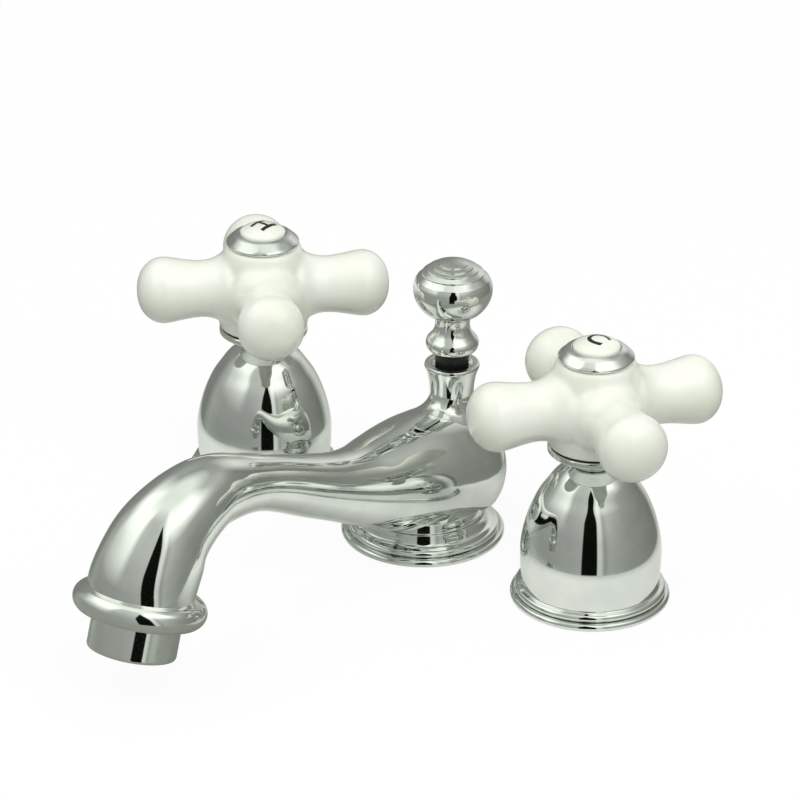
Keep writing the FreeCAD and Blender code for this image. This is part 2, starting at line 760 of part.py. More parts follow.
def make_cross(name):
    """The porcelain cross: a hub with four waisted arms that end in flattened balls."""
    bottom = "saucer_top + cushion_thickness"
    bore = "hub_sleeve_radius + loose_clearance"
    floor = "porcelain_top - porcelain_well_depth"
    flare = "(arm_waist_radius + arm_fillet)"
    root = "(arm_waist_radius + arm_fillet - arm_fillet / sqrt(2))"
    nose = "arm_ball_reach + (arm_tip_reach - arm_ball_reach) * arm_nose_reach_share"
    body = doc.addObject("PartDesign::Body", name)
    revolve(body, name + "_hub", (
        ("0", bottom),
        ("porcelain_radius - glaze_foot_edge", bottom),
        ("porcelain_radius", bottom + " + glaze_foot_edge", 0.41),
        ("porcelain_radius", "arm_height"),
        ("porcelain_top_radius", "porcelain_top - glaze_edge / 2", 0.1),
        ("porcelain_top_radius - glaze_edge / 2", "porcelain_top", 0.41),
        ("0", "porcelain_top")))
    arm = revolve(body, name + "_arm", (
        ("0", "0"),
        ("arm_tip_reach", "0"),
        (nose, "arm_ball_radius * arm_nose_radius_share", 0.154),
        ("arm_ball_reach", "arm_ball_radius", 0.26),
        ("arm_ball_reach * arm_shoulder_reach_share", "arm_ball_radius * arm_shoulder_radius_share", 0.077),
        (flare, "arm_waist_radius", -0.14),
        (root, root, -0.199),
        ("0", root)), about="H_Axis", up="arm_height")
    doc.recompute()
    pattern = body.newObject("PartDesign::PolarPattern", name + "_arms")
    pattern.Originals = [arm]
    pattern.Axis = (plane_of(body, "Z_Axis"), [""])
    pattern.Occurrences = 4
    body.Tip = pattern
    revolve(body, name + "_bore", (
        ("0", bottom + " - overrun"),
        (bore, bottom + " - overrun"),
        (bore, floor),
        ("porcelain_well_radius", floor),
        ("porcelain_well_radius", "porcelain_top + overrun"),
        ("0", "porcelain_top + overrun")), kind="PartDesign::Groove")
    return body


def make_bezel(name):
    """The chrome ring that screws on the hub's top and holds the porcelain down."""
    thread = "hub_sleeve_radius + fit_clearance"
    skirt = "porcelain_top - bezel_skirt_length"
    return turned(name, (
        (thread, skirt),
        (thread + " + bezel_skirt_wall", skirt),
        (thread + " + bezel_skirt_wall", "porcelain_top"),
        ("bezel_radius", "porcelain_top"),
        ("button_radius + bezel_crest_width", "porcelain_top + bezel_height", 0.34),
        ("button_radius + fit_clearance", "porcelain_top + bezel_height - bezel_lip_drop"),
        ("button_radius + fit_clearance", "button_bottom"),
        (thread, "button_bottom")))


def make_button(name):
    """The domed porcelain index button."""
    return turned(name, (
        ("0", "button_bottom"),
        ("button_radius", "button_bottom"),
        ("button_radius", "button_edge"),
        ("0", "button_crown", DOME)))


def make_side(side, sign, arm_turn):
    """Make every sub-part of one valve and its handle, stood on its own centre."""
    axis = "0 %s handle_spread / 2" % (sign or "+")
    toward = 1 if sign else -1
    swing = OUTLET_SWING * toward
    wall = "shank_radius + fit_clearance"
    moving_disc = "fixed_disc_bottom + disc_thickness + disc_film"
    groove_floor = "stem_radius - stem_groove_depth"
    o_ring = doc.addObject("Part::Torus", side + "_stem_o_ring")
    o_ring.setExpression("Radius1", bound(groove_floor + " + ring_section_radius + disc_film"))
    o_ring.setExpression("Radius2", bound("ring_section_radius"))
    pieces = {
        "bell": make_bell(side + "_bell"),
        "bell_gasket": ring(side + "_bell_gasket", "bell_radius - bell_wall + fit_clearance",
                            "bell_radius - bell_wall + gasket_width - fit_clearance",
                            "0", "gasket_thickness - fit_clearance / 2"),
        "deck_washer": ring(side + "_deck_washer", wall, "deck_washer_radius", UNDER_SEAT, UNDER_DECK),
        "plate_washer": ring(side + "_plate_washer", wall, "deck_washer_radius", UNDER_PLATE, UNDER_SEAT),
        "mounting_nut": hex_nut(side + "_mounting_nut", "mounting_nut_across", wall,
                                "mounting_nut_thickness", UNDER_PLATE + " - mounting_nut_thickness"),
        "cartridge_housing": make_cartridge(side + "_cartridge_housing"),
        "seat_seal": ring(side + "_seat_seal", "seal_inner_radius", "barrel_bore_radius - fit_clearance",
                          "valve_floor", "fixed_disc_bottom"),
        "fixed_disc": make_disc(side + "_fixed_disc", "fixed_disc_bottom",
                                "barrel_bore_radius - fit_clearance", 0.0),
        "moving_disc": make_disc(side + "_moving_disc", moving_disc, "moving_disc_radius", 90.0),
        "stem": make_stem(side + "_stem"),
        "stem_clip": ring(side + "_stem_clip", "stem_radius - stem_groove_depth / 2 + fit_clearance / 2",
                          "clip_radius", "bonnet_top + running_clearance + fit_clearance / 2",
                          "bonnet_top + running_clearance + fit_clearance / 2 + clip_thickness"),
        "hub": make_hub(side + "_hub"),
        "cushion_washer": ring(side + "_cushion_washer", "hub_sleeve_radius + loose_clearance",
                               "porcelain_radius - glaze_edge", "saucer_top",
                               "saucer_top + cushion_thickness"),
        "handle_screw": make_screw(side + "_handle_screw"),
        "index_bezel": make_bezel(side + "_index_bezel"),
        "index_button": make_button(side + "_index_button"),
    }
    for piece_name, piece in pieces.items():
        keep(place(piece, x=axis), side + "_" + piece_name)
    keep(place(make_valve_body(side + "_valve_body", toward), x=axis, swing=swing), side + "_valve_body")
    keep(place(o_ring, x=axis, z="stem_groove_height + stem_groove_width / 2"), side + "_stem_o_ring")
    keep(place(make_cross(side + "_cross"), x=axis, turn=arm_turn), side + "_cross")
    keep(place(make_nipple(side + "_outlet_nipple"), x=axis, z="0 - nipple_drop",
               turn=90.0 * toward, axis=(0, 1, 0), swing=swing), side + "_outlet_nipple")


def station(body, name, forward, up, radius, tilt):
    """Return a circle that stands across the spout's path at one station."""
    sketch = sketch_in(body, name, up=up, out=forward, tilt=tilt)
    sketch.addGeometry(Part.Circle(Vector(0, 0, 0), Vector(0, 0, 1), number(radius)), False)
    sketch.addConstraint(Sketcher.Constraint("Coincident", 0, 3, -1, 1))
    index = sketch.addConstraint(Sketcher.Constraint("Radius", 0, number(radius)))
    sketch.setExpression("Constraints[%d]" % index, bound(radius))
    return sketch


def neck_edges(shape):
    """Return the edges where the neck meets the bulb, found by their height and distance."""
    names = []
    reach = number("neck_radius") * NECK_NEAR_SHARE
    for index, edge in enumerate(shape.Edges, start=1):
        if edge.Degenerated:
            continue
        points = edge.discretize(9)
        near = all(math.hypot(p.x, p.y - number("neck_setback")) < reach for p in points)
        low = all(number("bulb_height") < p.z < number("neck_waist_height") for p in points)
        if near and low and edge.Length > number("neck_radius") * NECK_LONG_SHARE:
            rise = max(p.z for p in points) - min(p.z for p in points)
            across = max((p - points[0]).Length for p in points)
            if rise < across * NECK_FLAT_SHARE:
                names.append("Edge%d" % index)
    return names


def make_spout_body(name):
    """The cast spout: a lofted swan neck, a bulb, a collared neck and a waist, with its waterway."""
    quarter_share = math.tan(math.pi / 8)
    body = doc.addObject("PartDesign::Body", name)
    outer = []
    inner = []
    slope = math.radians(-BULB_TILT)
    shoulder = "bulb_root_radius + (bulb_radius - bulb_root_radius) * bulb_shoulder_radius_share"
    root_out = "bulb_root_length * %.6f - bulb_setback" % math.cos(slope)
    root_up = "bulb_height + bulb_root_length * %.6f" % math.sin(slope)
    rows = [("outlet_height", "outlet_bead_pitch") + row for row in FRONT_STATION_SHARES]
    rows += [(root_up, "bulb_root_radius") + row for row in REAR_STATION_SHARES]
    for index, (base, girth, out_share, up_share, radius_share, tilt) in enumerate(rows):
        out = between(root_out, "spout_reach", out_share)
        up = between(base, "crown_height", up_share)
        outer.append(station(body, "skin%02d" % index, out, up, "%s * %.4f" % (girth, radius_share), tilt))
        inner.append(station(body, "water%02d" % index, out, up, "water_radius", tilt))
    outer.append(station(body, "skin_root", root_out, root_up, "bulb_root_radius", BULB_TILT))
    inner.append(station(body, "water_root", root_out, root_up, "water_radius", BULB_TILT))
    inner.append(station(body, "water_bulb", between("0 - bulb_setback", root_out, WATER_END_SHARE),
                         between("bulb_height", root_up, WATER_END_SHARE), "water_radius", BULB_TILT))
    skin = body.newObject("PartDesign::AdditiveLoft", name + "_skin")
    skin.Profile = outer[0]
    skin.Sections = outer[1:]
    revolve(body, name + "_bulb", (
        ("0 - bulb_root_length", "0"),
        ("bulb_radius", "0"),
        ("0", "bulb_radius", quarter_share),
        ("0 - bulb_root_length * bulb_shoulder_length_share", shoulder, 0.056),
        ("0 - bulb_root_length", "bulb_root_radius")), about="H_Axis",
        role="YZ_Plane", across="bulb_setback", up="bulb_height", spin=BULB_TILT)
    doc.recompute()
    trim = sketch_in(body, name + "_trim", role="XY_Plane", out="flange_height")
    trim.addGeometry(Part.Circle(Vector(0, 0, 0), Vector(0, 0, 1), number("spout_reach")), False)
    trim.addConstraint(Sketcher.Constraint("Coincident", 0, 3, -1, 1))
    index = trim.addConstraint(Sketcher.Constraint("Radius", 0, number("spout_reach")))
    trim.setExpression("Constraints[%d]" % index, bound("spout_reach"))
    pocket = body.newObject("PartDesign::Pocket", name + "_flat")
    pocket.Profile = trim
    pocket.Type = "ThroughAll"
    doc.recompute()
    revolve(body, name + "_neck", (
        ("0", "neck_foot_height"),
        ("neck_radius", "neck_foot_height"),
        ("neck_radius", "neck_waist_height"),
        ("collar_radius", "collar_height", -0.114),
        ("collar_radius - collar_lip_width", "collar_height + collar_lip", 0.41),
        ("0", "collar_height + collar_lip")), out="0 - neck_setback")
    doc.recompute()
    neck = body.Tip
    edges = neck_edges(neck.Shape)
    fillet = body.newObject("PartDesign::Fillet", name + "_neck_fillet")
    fillet.Base = (neck, edges)
    fillet.setExpression("Radius", bound("neck_fillet"))
    doc.recompute()
    revolve(body, name + "_waist", (
        ("0", "spigot_bottom"),
        ("spigot_radius", "spigot_bottom"),
        ("spigot_radius", "flange_height"),
        ("waist_radius", "flange_height"),
        ("waist_radius", "flange_height + waist_height"),
        ("0", "flange_height + waist_height * 2")))
    revolve(body, name + "_bead", (
        ("0", "outlet_rim_rise"),
        ("outlet_rim_radius", "outlet_rim_rise"),
        ("outlet_bead_pitch + outlet_bead_radius", "outlet_bead_rise", 0.623),
        ("outlet_bead_pitch", "outlet_bead_rise + outlet_bead_radius", quarter_share),
        ("0", "outlet_bead_rise + outlet_bead_radius")),
        up="outlet_height", out="spout_reach", tilt=OUTLET_TILT)
    doc.recompute()
    solid = body.Tip.Shape.Volume
    waterway = body.newObject("PartDesign::SubtractiveLoft", name + "_waterway")
    waterway.Profile = inner[0]
    waterway.Sections = inner[1:]
    revolve(body, name + "_socket", (
        ("0", "0"),
        ("outlet_socket_radius", "0"),
        ("outlet_socket_radius", "outlet_socket_top"),
        ("0", "outlet_socket_top")), kind="PartDesign::Groove",
        up="outlet_height", out="spout_reach", tilt=OUTLET_TILT)
    revolve(body, name + "_shank_hole", (
        ("0", "0"),
        ("spout_shank_radius + fit_clearance", "0"),
        ("spout_shank_radius + fit_clearance", "spout_shank_top"),
        ("spout_shank_bore", "spout_shank_top"),
        ("spout_shank_bore", "bulb_height + water_radius / 2"),
        ("0", "bulb_height + water_radius / 2")), kind="PartDesign::Groove", out="0 - spout_shank_setback")
    revolve(body, name + "_rod_hole", (
        ("0", "0"),
        ("rod_hole_radius", "0"),
        ("rod_hole_radius", "knob_seat_height - bush_height"),
        ("knob_bore_radius", "knob_seat_height - bush_height"),
        ("knob_bore_radius", "collar_height + collar_lip - collar_mouth_depth"),
        ("collar_mouth_radius", "collar_height + collar_lip", -0.15),
        ("collar_mouth_radius", "collar_height + collar_lip + overrun"),
        ("0", "collar_height + collar_lip + overrun")), kind="PartDesign::Groove", out="0 - neck_setback")
    doc.recompute()
    if body.Shape.Volume >= solid:
        raise ValueError("the waterway cuts nothing")
    return body


def make_flange(name):
    """The beaded plate under the spout, with a rebate for its gasket."""
    hole = "spigot_radius + fit_clearance * 2"
    rebate = "flange_radius - foot_bead_height"
    bead_top = "foot_bead_height + flange_second_bead"
    return turned(name, (
        (rebate, "0"),
        ("flange_radius - foot_bead_height / 4", "0"),
        ("flange_radius - foot_bead_height / 4", "foot_bead_height", 0.5),
        ("flange_step_radius - flange_second_bead / 4", "foot_bead_height"),
        ("flange_step_radius - flange_second_bead / 4", bead_top, 0.5),
        ("flange_cove_radius", bead_top + " + foot_bead_height / 6", -0.3),
        ("flange_top_radius", "flange_height", -0.15),
        (hole, "flange_height"),
        (hole, "gasket_thickness"),
        (rebate, "gasket_thickness")))


def spout_washer(name, thickness, bottom):
    """A round washer for the spout, pierced for its shank and its lift rod."""
    disc = rod(name + "_blank", "spout_washer_radius", thickness, z=bottom)
    shank = rod(name + "_hole", "spout_shank_radius + fit_clearance", "(%s) + overrun * 2" % thickness,
                y="spout_shank_setback", z=bottom + " - overrun")
    notch = rod(name + "_notch", "rod_notch_radius", "(%s) + overrun * 2" % thickness,
                y="neck_setback", z=bottom + " - overrun")
    return cut(name, disc, [shank, notch])


def make_shank(name):
    """The threaded tube that feeds the spout and holds it to the deck."""
    bottom = "0 - spout_shank_drop"
    relief = bottom + " + supply_thread_length"
    return turned(name, (
        ("spout_shank_bore", bottom),
        ("spout_shank_radius - thread_chamfer", bottom),
        ("spout_shank_radius", bottom + " + thread_chamfer"),
        ("spout_shank_radius", relief),
        ("spout_shank_radius - thread_chamfer", relief),
        ("spout_shank_radius - thread_chamfer", relief + " + relief_width"),
        ("spout_shank_radius", relief + " + relief_width"),
        ("spout_shank_radius", "spout_shank_top - fit_clearance / 2"),
        ("spout_shank_bore", "spout_shank_top - fit_clearance / 2")))


def make_aerator_shell(name):
    """The aerator's chrome shell, screwed up into the outlet."""
    thread = "outlet_socket_radius - fit_clearance"
    rim = "outlet_rim_rise - fit_clearance / 2"
    top = "outlet_socket_top - aerator_washer_thickness - fit_clearance"
    return turned(name, (
        (thread + " - aerator_wall - aerator_lip", "0"),
        ("aerator_radius - aerator_edge", "0"),
        ("aerator_radius", "aerator_edge", 0.41),
        ("aerator_radius", rim),
        (thread, rim),
        (thread, top),
        (thread + " - aerator_wall", top),
        (thread + " - aerator_wall", "aerator_lip"),
        (thread + " - aerator_wall - aerator_lip", "aerator_lip")))


def make_screen(name):
    """The pierced disc at the mouth of the aerator."""
    top = "aerator_lip + screen_thickness"
    body = ring(name, "0", "aerator_bore_radius", "aerator_lip", top)
    for index, (share, count) in enumerate(SCREEN_ROW_SHARES):
        perforate(body, "%s_holes%d" % (name, index), "screen_hole_radius",
                  "aerator_bore_radius * %.2f" % share, count, top, "screen_thickness + overrun")
    return body


def make_insert(name):
    """The plastic flow former inside the aerator, with a ring of passages."""
    bottom = "aerator_lip + screen_thickness + fit_clearance"
    top = bottom + " + insert_thickness"
    body = turned(name, (
        ("0", bottom),
        ("aerator_bore_radius", bottom),
        ("aerator_bore_radius", top),
        ("insert_hole_radius * 2", top),
        ("0", top + " + insert_hole_radius", DOME)))
    perforate(body, name + "_holes", "insert_hole_radius", "aerator_bore_radius * insert_pitch_share",
              INSERT_HOLES, top, "insert_thickness + overrun")
    return body


def make_knob(name):
    """The lift knob: a stem, a bead, a waist and a ball with a stepped crown."""
    stem_bottom = "knob_seat_height + fit_clearance / 2"
    socket = "rod_radius + fit_clearance / 2"
    bead_low = "knob_bead_height - knob_bead_half"
    bead_high = "knob_bead_height + knob_bead_half"
    step = "(knob_top - knob_ball_height - knob_step * 3)"
    steps = []
    for index, (width_share, height_share) in enumerate(KNOB_STEP_SHARES):
        radius = "knob_step_radius * %.4f" % width_share
        height = "knob_ball_height + %s * %.4f + knob_step * %d" % (step, height_share, index)
        swell = (0.29,) if index == 0 else ()
        steps.append((radius, height) + swell)
        steps.append((radius, height + " + knob_step"))
    return turned(name, (
        (socket, stem_bottom),
        ("knob_stem_radius", stem_bottom),
        ("knob_stem_radius", bead_low + " - knob_bead_half / 2"),
        ("knob_bead_radius * knob_bead_low_share", bead_low, -0.3),
        ("knob_bead_radius", "knob_bead_height", 0.3),
        ("knob_bead_radius * knob_bead_high_share", bead_high, 0.35),
        ("knob_waist_radius", "knob_waist_height", -0.25),
        ("knob_waist_radius + knob_step", "knob_ball_bottom", -0.15),
        ("knob_ball_radius", "knob_ball_height", 0.36),
        *steps,
        ("0", "knob_top", DOME),
        ("0", "rod_top + fit_clearance"),
        (socket, "rod_top + fit_clearance")))


def make_lift_rod(name):
    """The rod below the knob, with an eased and grooved end for the waste linkage."""
    bottom = "0 - rod_drop"
    groove = bottom + " + rod_end_length"
    return turned(name, (
        ("0", bottom),
        ("rod_radius - thread_chamfer / 2", bottom),
        ("rod_radius", bottom + " + thread_chamfer / 2"),
        ("rod_radius", groove),
        ("rod_radius - thread_chamfer / 2", groove),
        ("rod_radius - thread_chamfer / 2", groove + " + rod_groove_width"),
        ("rod_radius", groove + " + rod_groove_width"),
        ("rod_radius", "rod_top"),
        ("0", "rod_top")))


def make_spout():
    """Make the spout, its base, its shank and hardware, its aerator and its lift knob."""
    keep(make_spout_body("spout_body"), "spout_body")
    keep(make_flange("spout_flange"), "spout_flange")
    keep(ring("spout_gasket", "spigot_radius + fit_clearance * 3",
              "flange_radius - foot_bead_height - fit_clearance",
              "0", "gasket_thickness - fit_clearance / 2"), "spout_gasket")
    keep(place(make_shank("spout_shank"), y="spout_shank_setback"), "spout_shank")
    keep(spout_washer("spout_deck_washer", "seat_washer_thickness", UNDER_SEAT), "spout_deck_washer")
    keep(spout_washer("spout_plate_washer", "plate_washer_thickness", UNDER_PLATE), "spout_plate_washer")
    nut = hex_nut("spout_mounting_nut", "spout_nut_across", "spout_shank_radius + fit_clearance",
                  "spout_nut_thickness", UNDER_PLATE + " - spout_nut_thickness")
    keep(place(nut, y="spout_shank_setback"), "spout_mounting_nut")
    top = "outlet_socket_top - fit_clearance / 2"
    outlet = {
        "aerator_shell": make_aerator_shell("aerator_shell"),
        "aerator_screen": make_screen("aerator_screen"),
        "aerator_insert": make_insert("aerator_insert"),
        "aerator_washer": ring("aerator_washer",
                               "outlet_socket_radius - fit_clearance - aerator_washer_width",
                               "outlet_socket_radius - fit_clearance",
                               top + " - aerator_washer_thickness", top),
    }
    for label, piece in outlet.items():
        place(piece, y="0 - spout_reach", z="outlet_height", turn=OUTLET_TILT, axis=(1, 0, 0))
        keep(piece, label)
    bush = ring("rod_bush", "rod_radius + running_clearance", "knob_bore_radius - fit_clearance / 2",
                "knob_seat_height - bush_height", "knob_seat_height")
    for label, piece in (("rod_bush", bush), ("lift_knob", make_knob("lift_knob")),
                         ("lift_rod", make_lift_rod("lift_rod"))):
        keep(place(piece, y="neck_setback"), label)


for side_name, side_sign, side_turn in SIDES:
    make_side(side_name, side_sign, side_turn)
make_spout()
doc.recompute()

for item in doc.Objects:
    if "Invalid" in item.State or "Error" in item.State:
        raise ValueError("%s did not build" % item.Label)
for piece in finished:
    if piece.Shape.isNull() or not piece.Shape.isValid() or not piece.Shape.Solids:
        raise ValueError("%s is not a sound solid" % piece.Label)

os.makedirs("parts", exist_ok=True)
for piece in finished:
    piece.Shape.exportStep("parts/%s.step" % piece.Label)
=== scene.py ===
"""Looks of a widespread lavatory faucet: a swan spout with a lift knob, and two domed valves with
porcelain cross handles.

Sizes in the classes are millimetres, heights are measured from the deck, and every mesh is made
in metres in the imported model's own frame: the origin is the middle of the spout's base, +Z is up,
+X points to the cold handle and the spout reaches towards -Y.
"""

import json
import logging
import math
from dataclasses import dataclass
from enum import Enum
from functools import partial
from typing import Any, Sequence

import bmesh
import bpy
from bmesh.types import BMesh, BMEdge, BMVert
from bpy.types import Material, Mesh, Node, NodeSocket, NodeTree, Object, World
from mathutils import Matrix, Vector
from mathutils.bvhtree import BVHTree

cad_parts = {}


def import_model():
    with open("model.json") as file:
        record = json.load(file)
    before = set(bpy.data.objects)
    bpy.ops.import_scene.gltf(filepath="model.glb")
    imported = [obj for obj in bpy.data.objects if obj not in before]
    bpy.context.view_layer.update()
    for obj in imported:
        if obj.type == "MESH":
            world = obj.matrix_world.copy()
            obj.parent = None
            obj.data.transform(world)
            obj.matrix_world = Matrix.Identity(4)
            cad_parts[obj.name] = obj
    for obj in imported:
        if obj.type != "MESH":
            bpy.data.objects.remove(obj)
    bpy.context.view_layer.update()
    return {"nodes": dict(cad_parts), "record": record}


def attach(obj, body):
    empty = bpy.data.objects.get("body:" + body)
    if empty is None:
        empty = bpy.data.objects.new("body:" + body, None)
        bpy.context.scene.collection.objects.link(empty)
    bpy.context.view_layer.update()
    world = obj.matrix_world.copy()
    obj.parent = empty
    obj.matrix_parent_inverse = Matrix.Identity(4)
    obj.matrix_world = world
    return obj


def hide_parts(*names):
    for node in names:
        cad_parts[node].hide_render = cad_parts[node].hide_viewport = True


MM = 0.001
TINY = 1e-9  # shorter lengths count as none
ON_AXIS = 1e-6  # points nearer to an axis lie on it
WELD = 1e-7  # metres within which two points are made one
CUT = 1e-8  # metres within which a point lies on a cutting plane
WIDE_TURN, TURN, SMALL_TURN = 128, 96, 64  # facets around a turned piece
VALVE_OUT = 60.5  # mm from the spout's centre to each valve's axis
WHITE = "#ffffff"  # the plain background

Point = tuple[float, float]
Run = tuple[Point, ...]
Stops = tuple[tuple[float, str], ...]

log = logging.getLogger("faucet")


class Body(Enum):
    """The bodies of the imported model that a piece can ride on."""

    ROOT = "root"
    HOT_HANDLE = "hot_handle"
    COLD_HANDLE = "cold_handle"
    LIFT = "lift"


class Slot(Enum):
    """The record's material slots."""

    CHROME = "chrome"
    BRASS = "brass"
    RUBBER = "rubber"
    STEEL = "steel"
    DISC_CERAMIC = "disc_ceramic"
    PORCELAIN = "porcelain"
    PLASTIC = "plastic"


# Colours and shader nodes


def linear(code: str) -> tuple[float, float, float, float]:
    """Turn an sRGB hex colour into the linear values that shaders take.

    Args:
        code: The colour, such as "#f4f7ee".

    Returns:
        Red, green, blue and an alpha of 1.
    """
    channels = (int(code[start:start + 2], 16) / 255 for start in (1, 3, 5))
    red, green, blue = (c / 12.92 if c <= 0.04045 else ((c + 0.055) / 1.055) ** 2.4 for c in channels)
    return red, green, blue, 1.0


def add_node(tree: NodeTree, kind: str, inputs: dict[Any, Any] | None = None, **settings: Any) -> Node:
    """Add one shader node with its settings, its values and its links.

    Args:
        tree: The node tree.
        kind: The node's type name.
        inputs: Values, output sockets or nodes, which give their first output, by the input's name
            or number.
        settings: Properties of the node itself.

    Returns:
        The new node.
    """
    node = tree.nodes.new(kind)
    for name, value in settings.items():
        setattr(node, name, value)
    for name, value in (inputs or {}).items():
        source = value.outputs[0] if isinstance(value, Node) else value
        if isinstance(source, NodeSocket):
            tree.links.new(source, node.inputs[name])
        else:
            node.inputs[name].default_value = source
    return node


def set_stops(ramp: Node, stops: Stops, low: float = 0.0, high: float = 1.0) -> None:
    """Give a colour ramp its stops.

    Args:
        ramp: The colour ramp node.
        stops: A place and a hex colour each, in rising order.
        low: The place where the ramp starts.
        high: The place where it ends.
    """
    elements = ramp.color_ramp.elements
    while len(elements) < len(stops):
        elements.new(1.0)
    for element, (place, code) in zip(elements, stops):
        element.position = (place - low) / (high - low)
        element.color = linear(code)


def bare_tree(owner: Material | World) -> NodeTree:
    """Give a material or a world an empty node tree.

    Args:
        owner: The material or world.

    Returns:
        Its node tree.
    """
    owner.use_nodes = True
    owner.node_tree.nodes.clear()
    return owner.node_tree


@dataclass(frozen=True)
class Finish:
    """One surface finish: a shader whose colour, gloss and relief vary over the piece.

    Attributes:
        label: The material's name.
        slot: The record's slot that it belongs to.
        low: The darker of its two tones.
        high: The lighter of its two tones.
        gloss: The lowest and highest roughness.
        metallic: 1 for bare metal, 0 for the rest.
        tone_size: Width of a patch of tone in mm.
        grain_size: Width of one mark of the relief in mm.
        grain_depth: Depth of the relief in mm.
        grain_stretch: How many times longer than wide a mark is, along X, Y and Z.
        extra: Values for other sockets of the shader.
        tone_span: Where in the noise the darker tone ends and the lighter one starts.
        gloss_span: Where in the noise the lowest roughness ends and the highest starts.
        tone_detail: Octaves of the tone's noise.
        tone_rough: How strong the finer octaves are.
        grain_detail: Octaves of the relief's noise.
    """

    label: str
    slot: Slot
    low: str
    high: str
    gloss: tuple[float, float]
    metallic: float = 0.0
    tone_size: float = 12.0
    grain_size: float = 1.0
    grain_depth: float = 0.002
    grain_stretch: tuple[float, float, float] = (1.0, 1.0, 1.0)
    extra: tuple[tuple[str, Any], ...] = ()
    tone_span: tuple[float, float] = (0.35, 0.65)
    gloss_span: tuple[float, float] = (0.3, 0.7)
    tone_detail: float = 3.0
    tone_rough: float = 0.55
    grain_detail: float = 2.0

    def build(self) -> Material:
        """Make the material from its noise patterns, or find it if it is made already.

        Returns:
            The material.
        """
        if self.label in bpy.data.materials:
            return bpy.data.materials[self.label]
        material = bpy.data.materials.new(self.label)
        material.use_nodes = True
        add = partial(add_node, material.node_tree)
        shader = material.node_tree.nodes["Principled BSDF"]
        shader.inputs["Metallic"].default_value = self.metallic
        for name, value in self.extra:
            shader.inputs[name].default_value = value
        place = add("ShaderNodeTexCoord").outputs["Object"]
        tone = add("ShaderNodeTexNoise", {
            "Vector": place, "Scale": 1 / (self.tone_size * MM), "Detail": self.tone_detail,
            "Roughness": self.tone_rough})
        colour = add("ShaderNodeValToRGB", {"Fac": tone})
        set_stops(colour, tuple(zip(self.tone_span, (self.low, self.high))))
        gloss = add("ShaderNodeMapRange", {
            "Value": tone, "From Min": self.gloss_span[0], "From Max": self.gloss_span[1],
            "To Min": self.gloss[0], "To Max": self.gloss[1]})
        squeezed = add("ShaderNodeMapping", {
            "Vector": place, "Scale": tuple(1 / s for s in self.grain_stretch)}, vector_type="POINT")
        grain = add("ShaderNodeTexNoise", {
            "Vector": squeezed, "Scale": 1 / (self.grain_size * MM), "Detail": self.grain_detail})
        relief = add("ShaderNodeBump", {
            "Height": grain, "Distance": self.grain_depth * MM, "Strength": 1.0})
        for name, node in (("Base Color", colour), ("Roughness", gloss), ("Normal", relief)):
            material.node_tree.links.new(node.outputs[0], shader.inputs[name])
        return material


# Nickel-chrome plate on polished brass: almost a mirror, with a faint ripple left by the buffing
# wheel and a film of handling that dulls it in patches.
CHROME = Finish("polished_chrome_plate", Slot.CHROME, "#dcdfdc", "#e9ebe8", (0.025, 0.06), 1.0,
                tone_size=14.0, grain_size=5.0, grain_depth=0.004)
# Glazed porcelain: a creamy white body under a clear glaze that pools in soft waves.
PORCELAIN = Finish("glazed_porcelain", Slot.PORCELAIN, "#eff3e6", "#f6f8f0", (0.16, 0.24),
                   tone_size=16.0, grain_size=7.0, grain_depth=0.01,
                   extra=(("Coat Weight", 0.5), ("Coat Roughness", 0.04), ("Subsurface Weight", 0.15),
                          ("Subsurface Radius", (0.004, 0.004, 0.003)), ("Subsurface Scale", 0.6)))
# Fired enamel in the letters of the index buttons: black, slightly duller than the glaze.
ENAMEL = Finish("black_enamel", Slot.PORCELAIN, "#14160f", "#1d1f18", (0.25, 0.35),
                tone_size=2.0, grain_size=0.5, grain_depth=0.002)
# Jet black with a soft moulded sheen, for the thin sleeve that darkens the collar's mouth.
JET = Finish("jet_black_sleeve", Slot.PLASTIC, "#0d0e0d", "#161716", (0.35, 0.45),
             tone_size=4.0, grain_size=0.3, grain_depth=0.003)
# Machined brass: warm yellow, with fine rings from the lathe and a little tarnish.
BRASS = Finish("machined_brass", Slot.BRASS, "#a8854b", "#c9a666", (0.22, 0.38), 1.0,
               tone_size=9.0, grain_size=0.5, grain_depth=0.006, grain_stretch=(12.0, 12.0, 1.0))
# Moulded nitrile rubber: near black and matt, with the mould's fine grain.
RUBBER = Finish("moulded_rubber", Slot.RUBBER, "#191a1a", "#262727", (0.6, 0.8),
                tone_size=6.0, grain_size=0.3, grain_depth=0.01)
# Stainless steel: brushed along its faces, cool grey.
STEEL = Finish("brushed_stainless_steel", Slot.STEEL, "#a9acad", "#c0c3c4", (0.2, 0.36), 1.0,
               tone_size=7.0, grain_size=0.25, grain_depth=0.004, grain_stretch=(20.0, 1.0, 1.0))
# Lapped alumina: warm white, satin from the lapping plate.
ALUMINA = Finish("lapped_alumina", Slot.DISC_CERAMIC, "#ded7c8", "#ece6d9", (0.24, 0.34),
                 tone_size=5.0, grain_size=0.2, grain_depth=0.002)
# Moulded acetal: milky white, with the soft sheen of a mould's eroded face.
ACETAL = Finish("moulded_acetal", Slot.PLASTIC, "#e2e0d8", "#eeece5", (0.38, 0.5),
                tone_size=8.0, grain_size=0.3, grain_depth=0.006)


# Outlines and meshes


def mix_points(first: Vector, second: Vector, share: float) -> Vector:
    """Return the point at a share of the way from one point to another."""
    return first + (second - first) * share


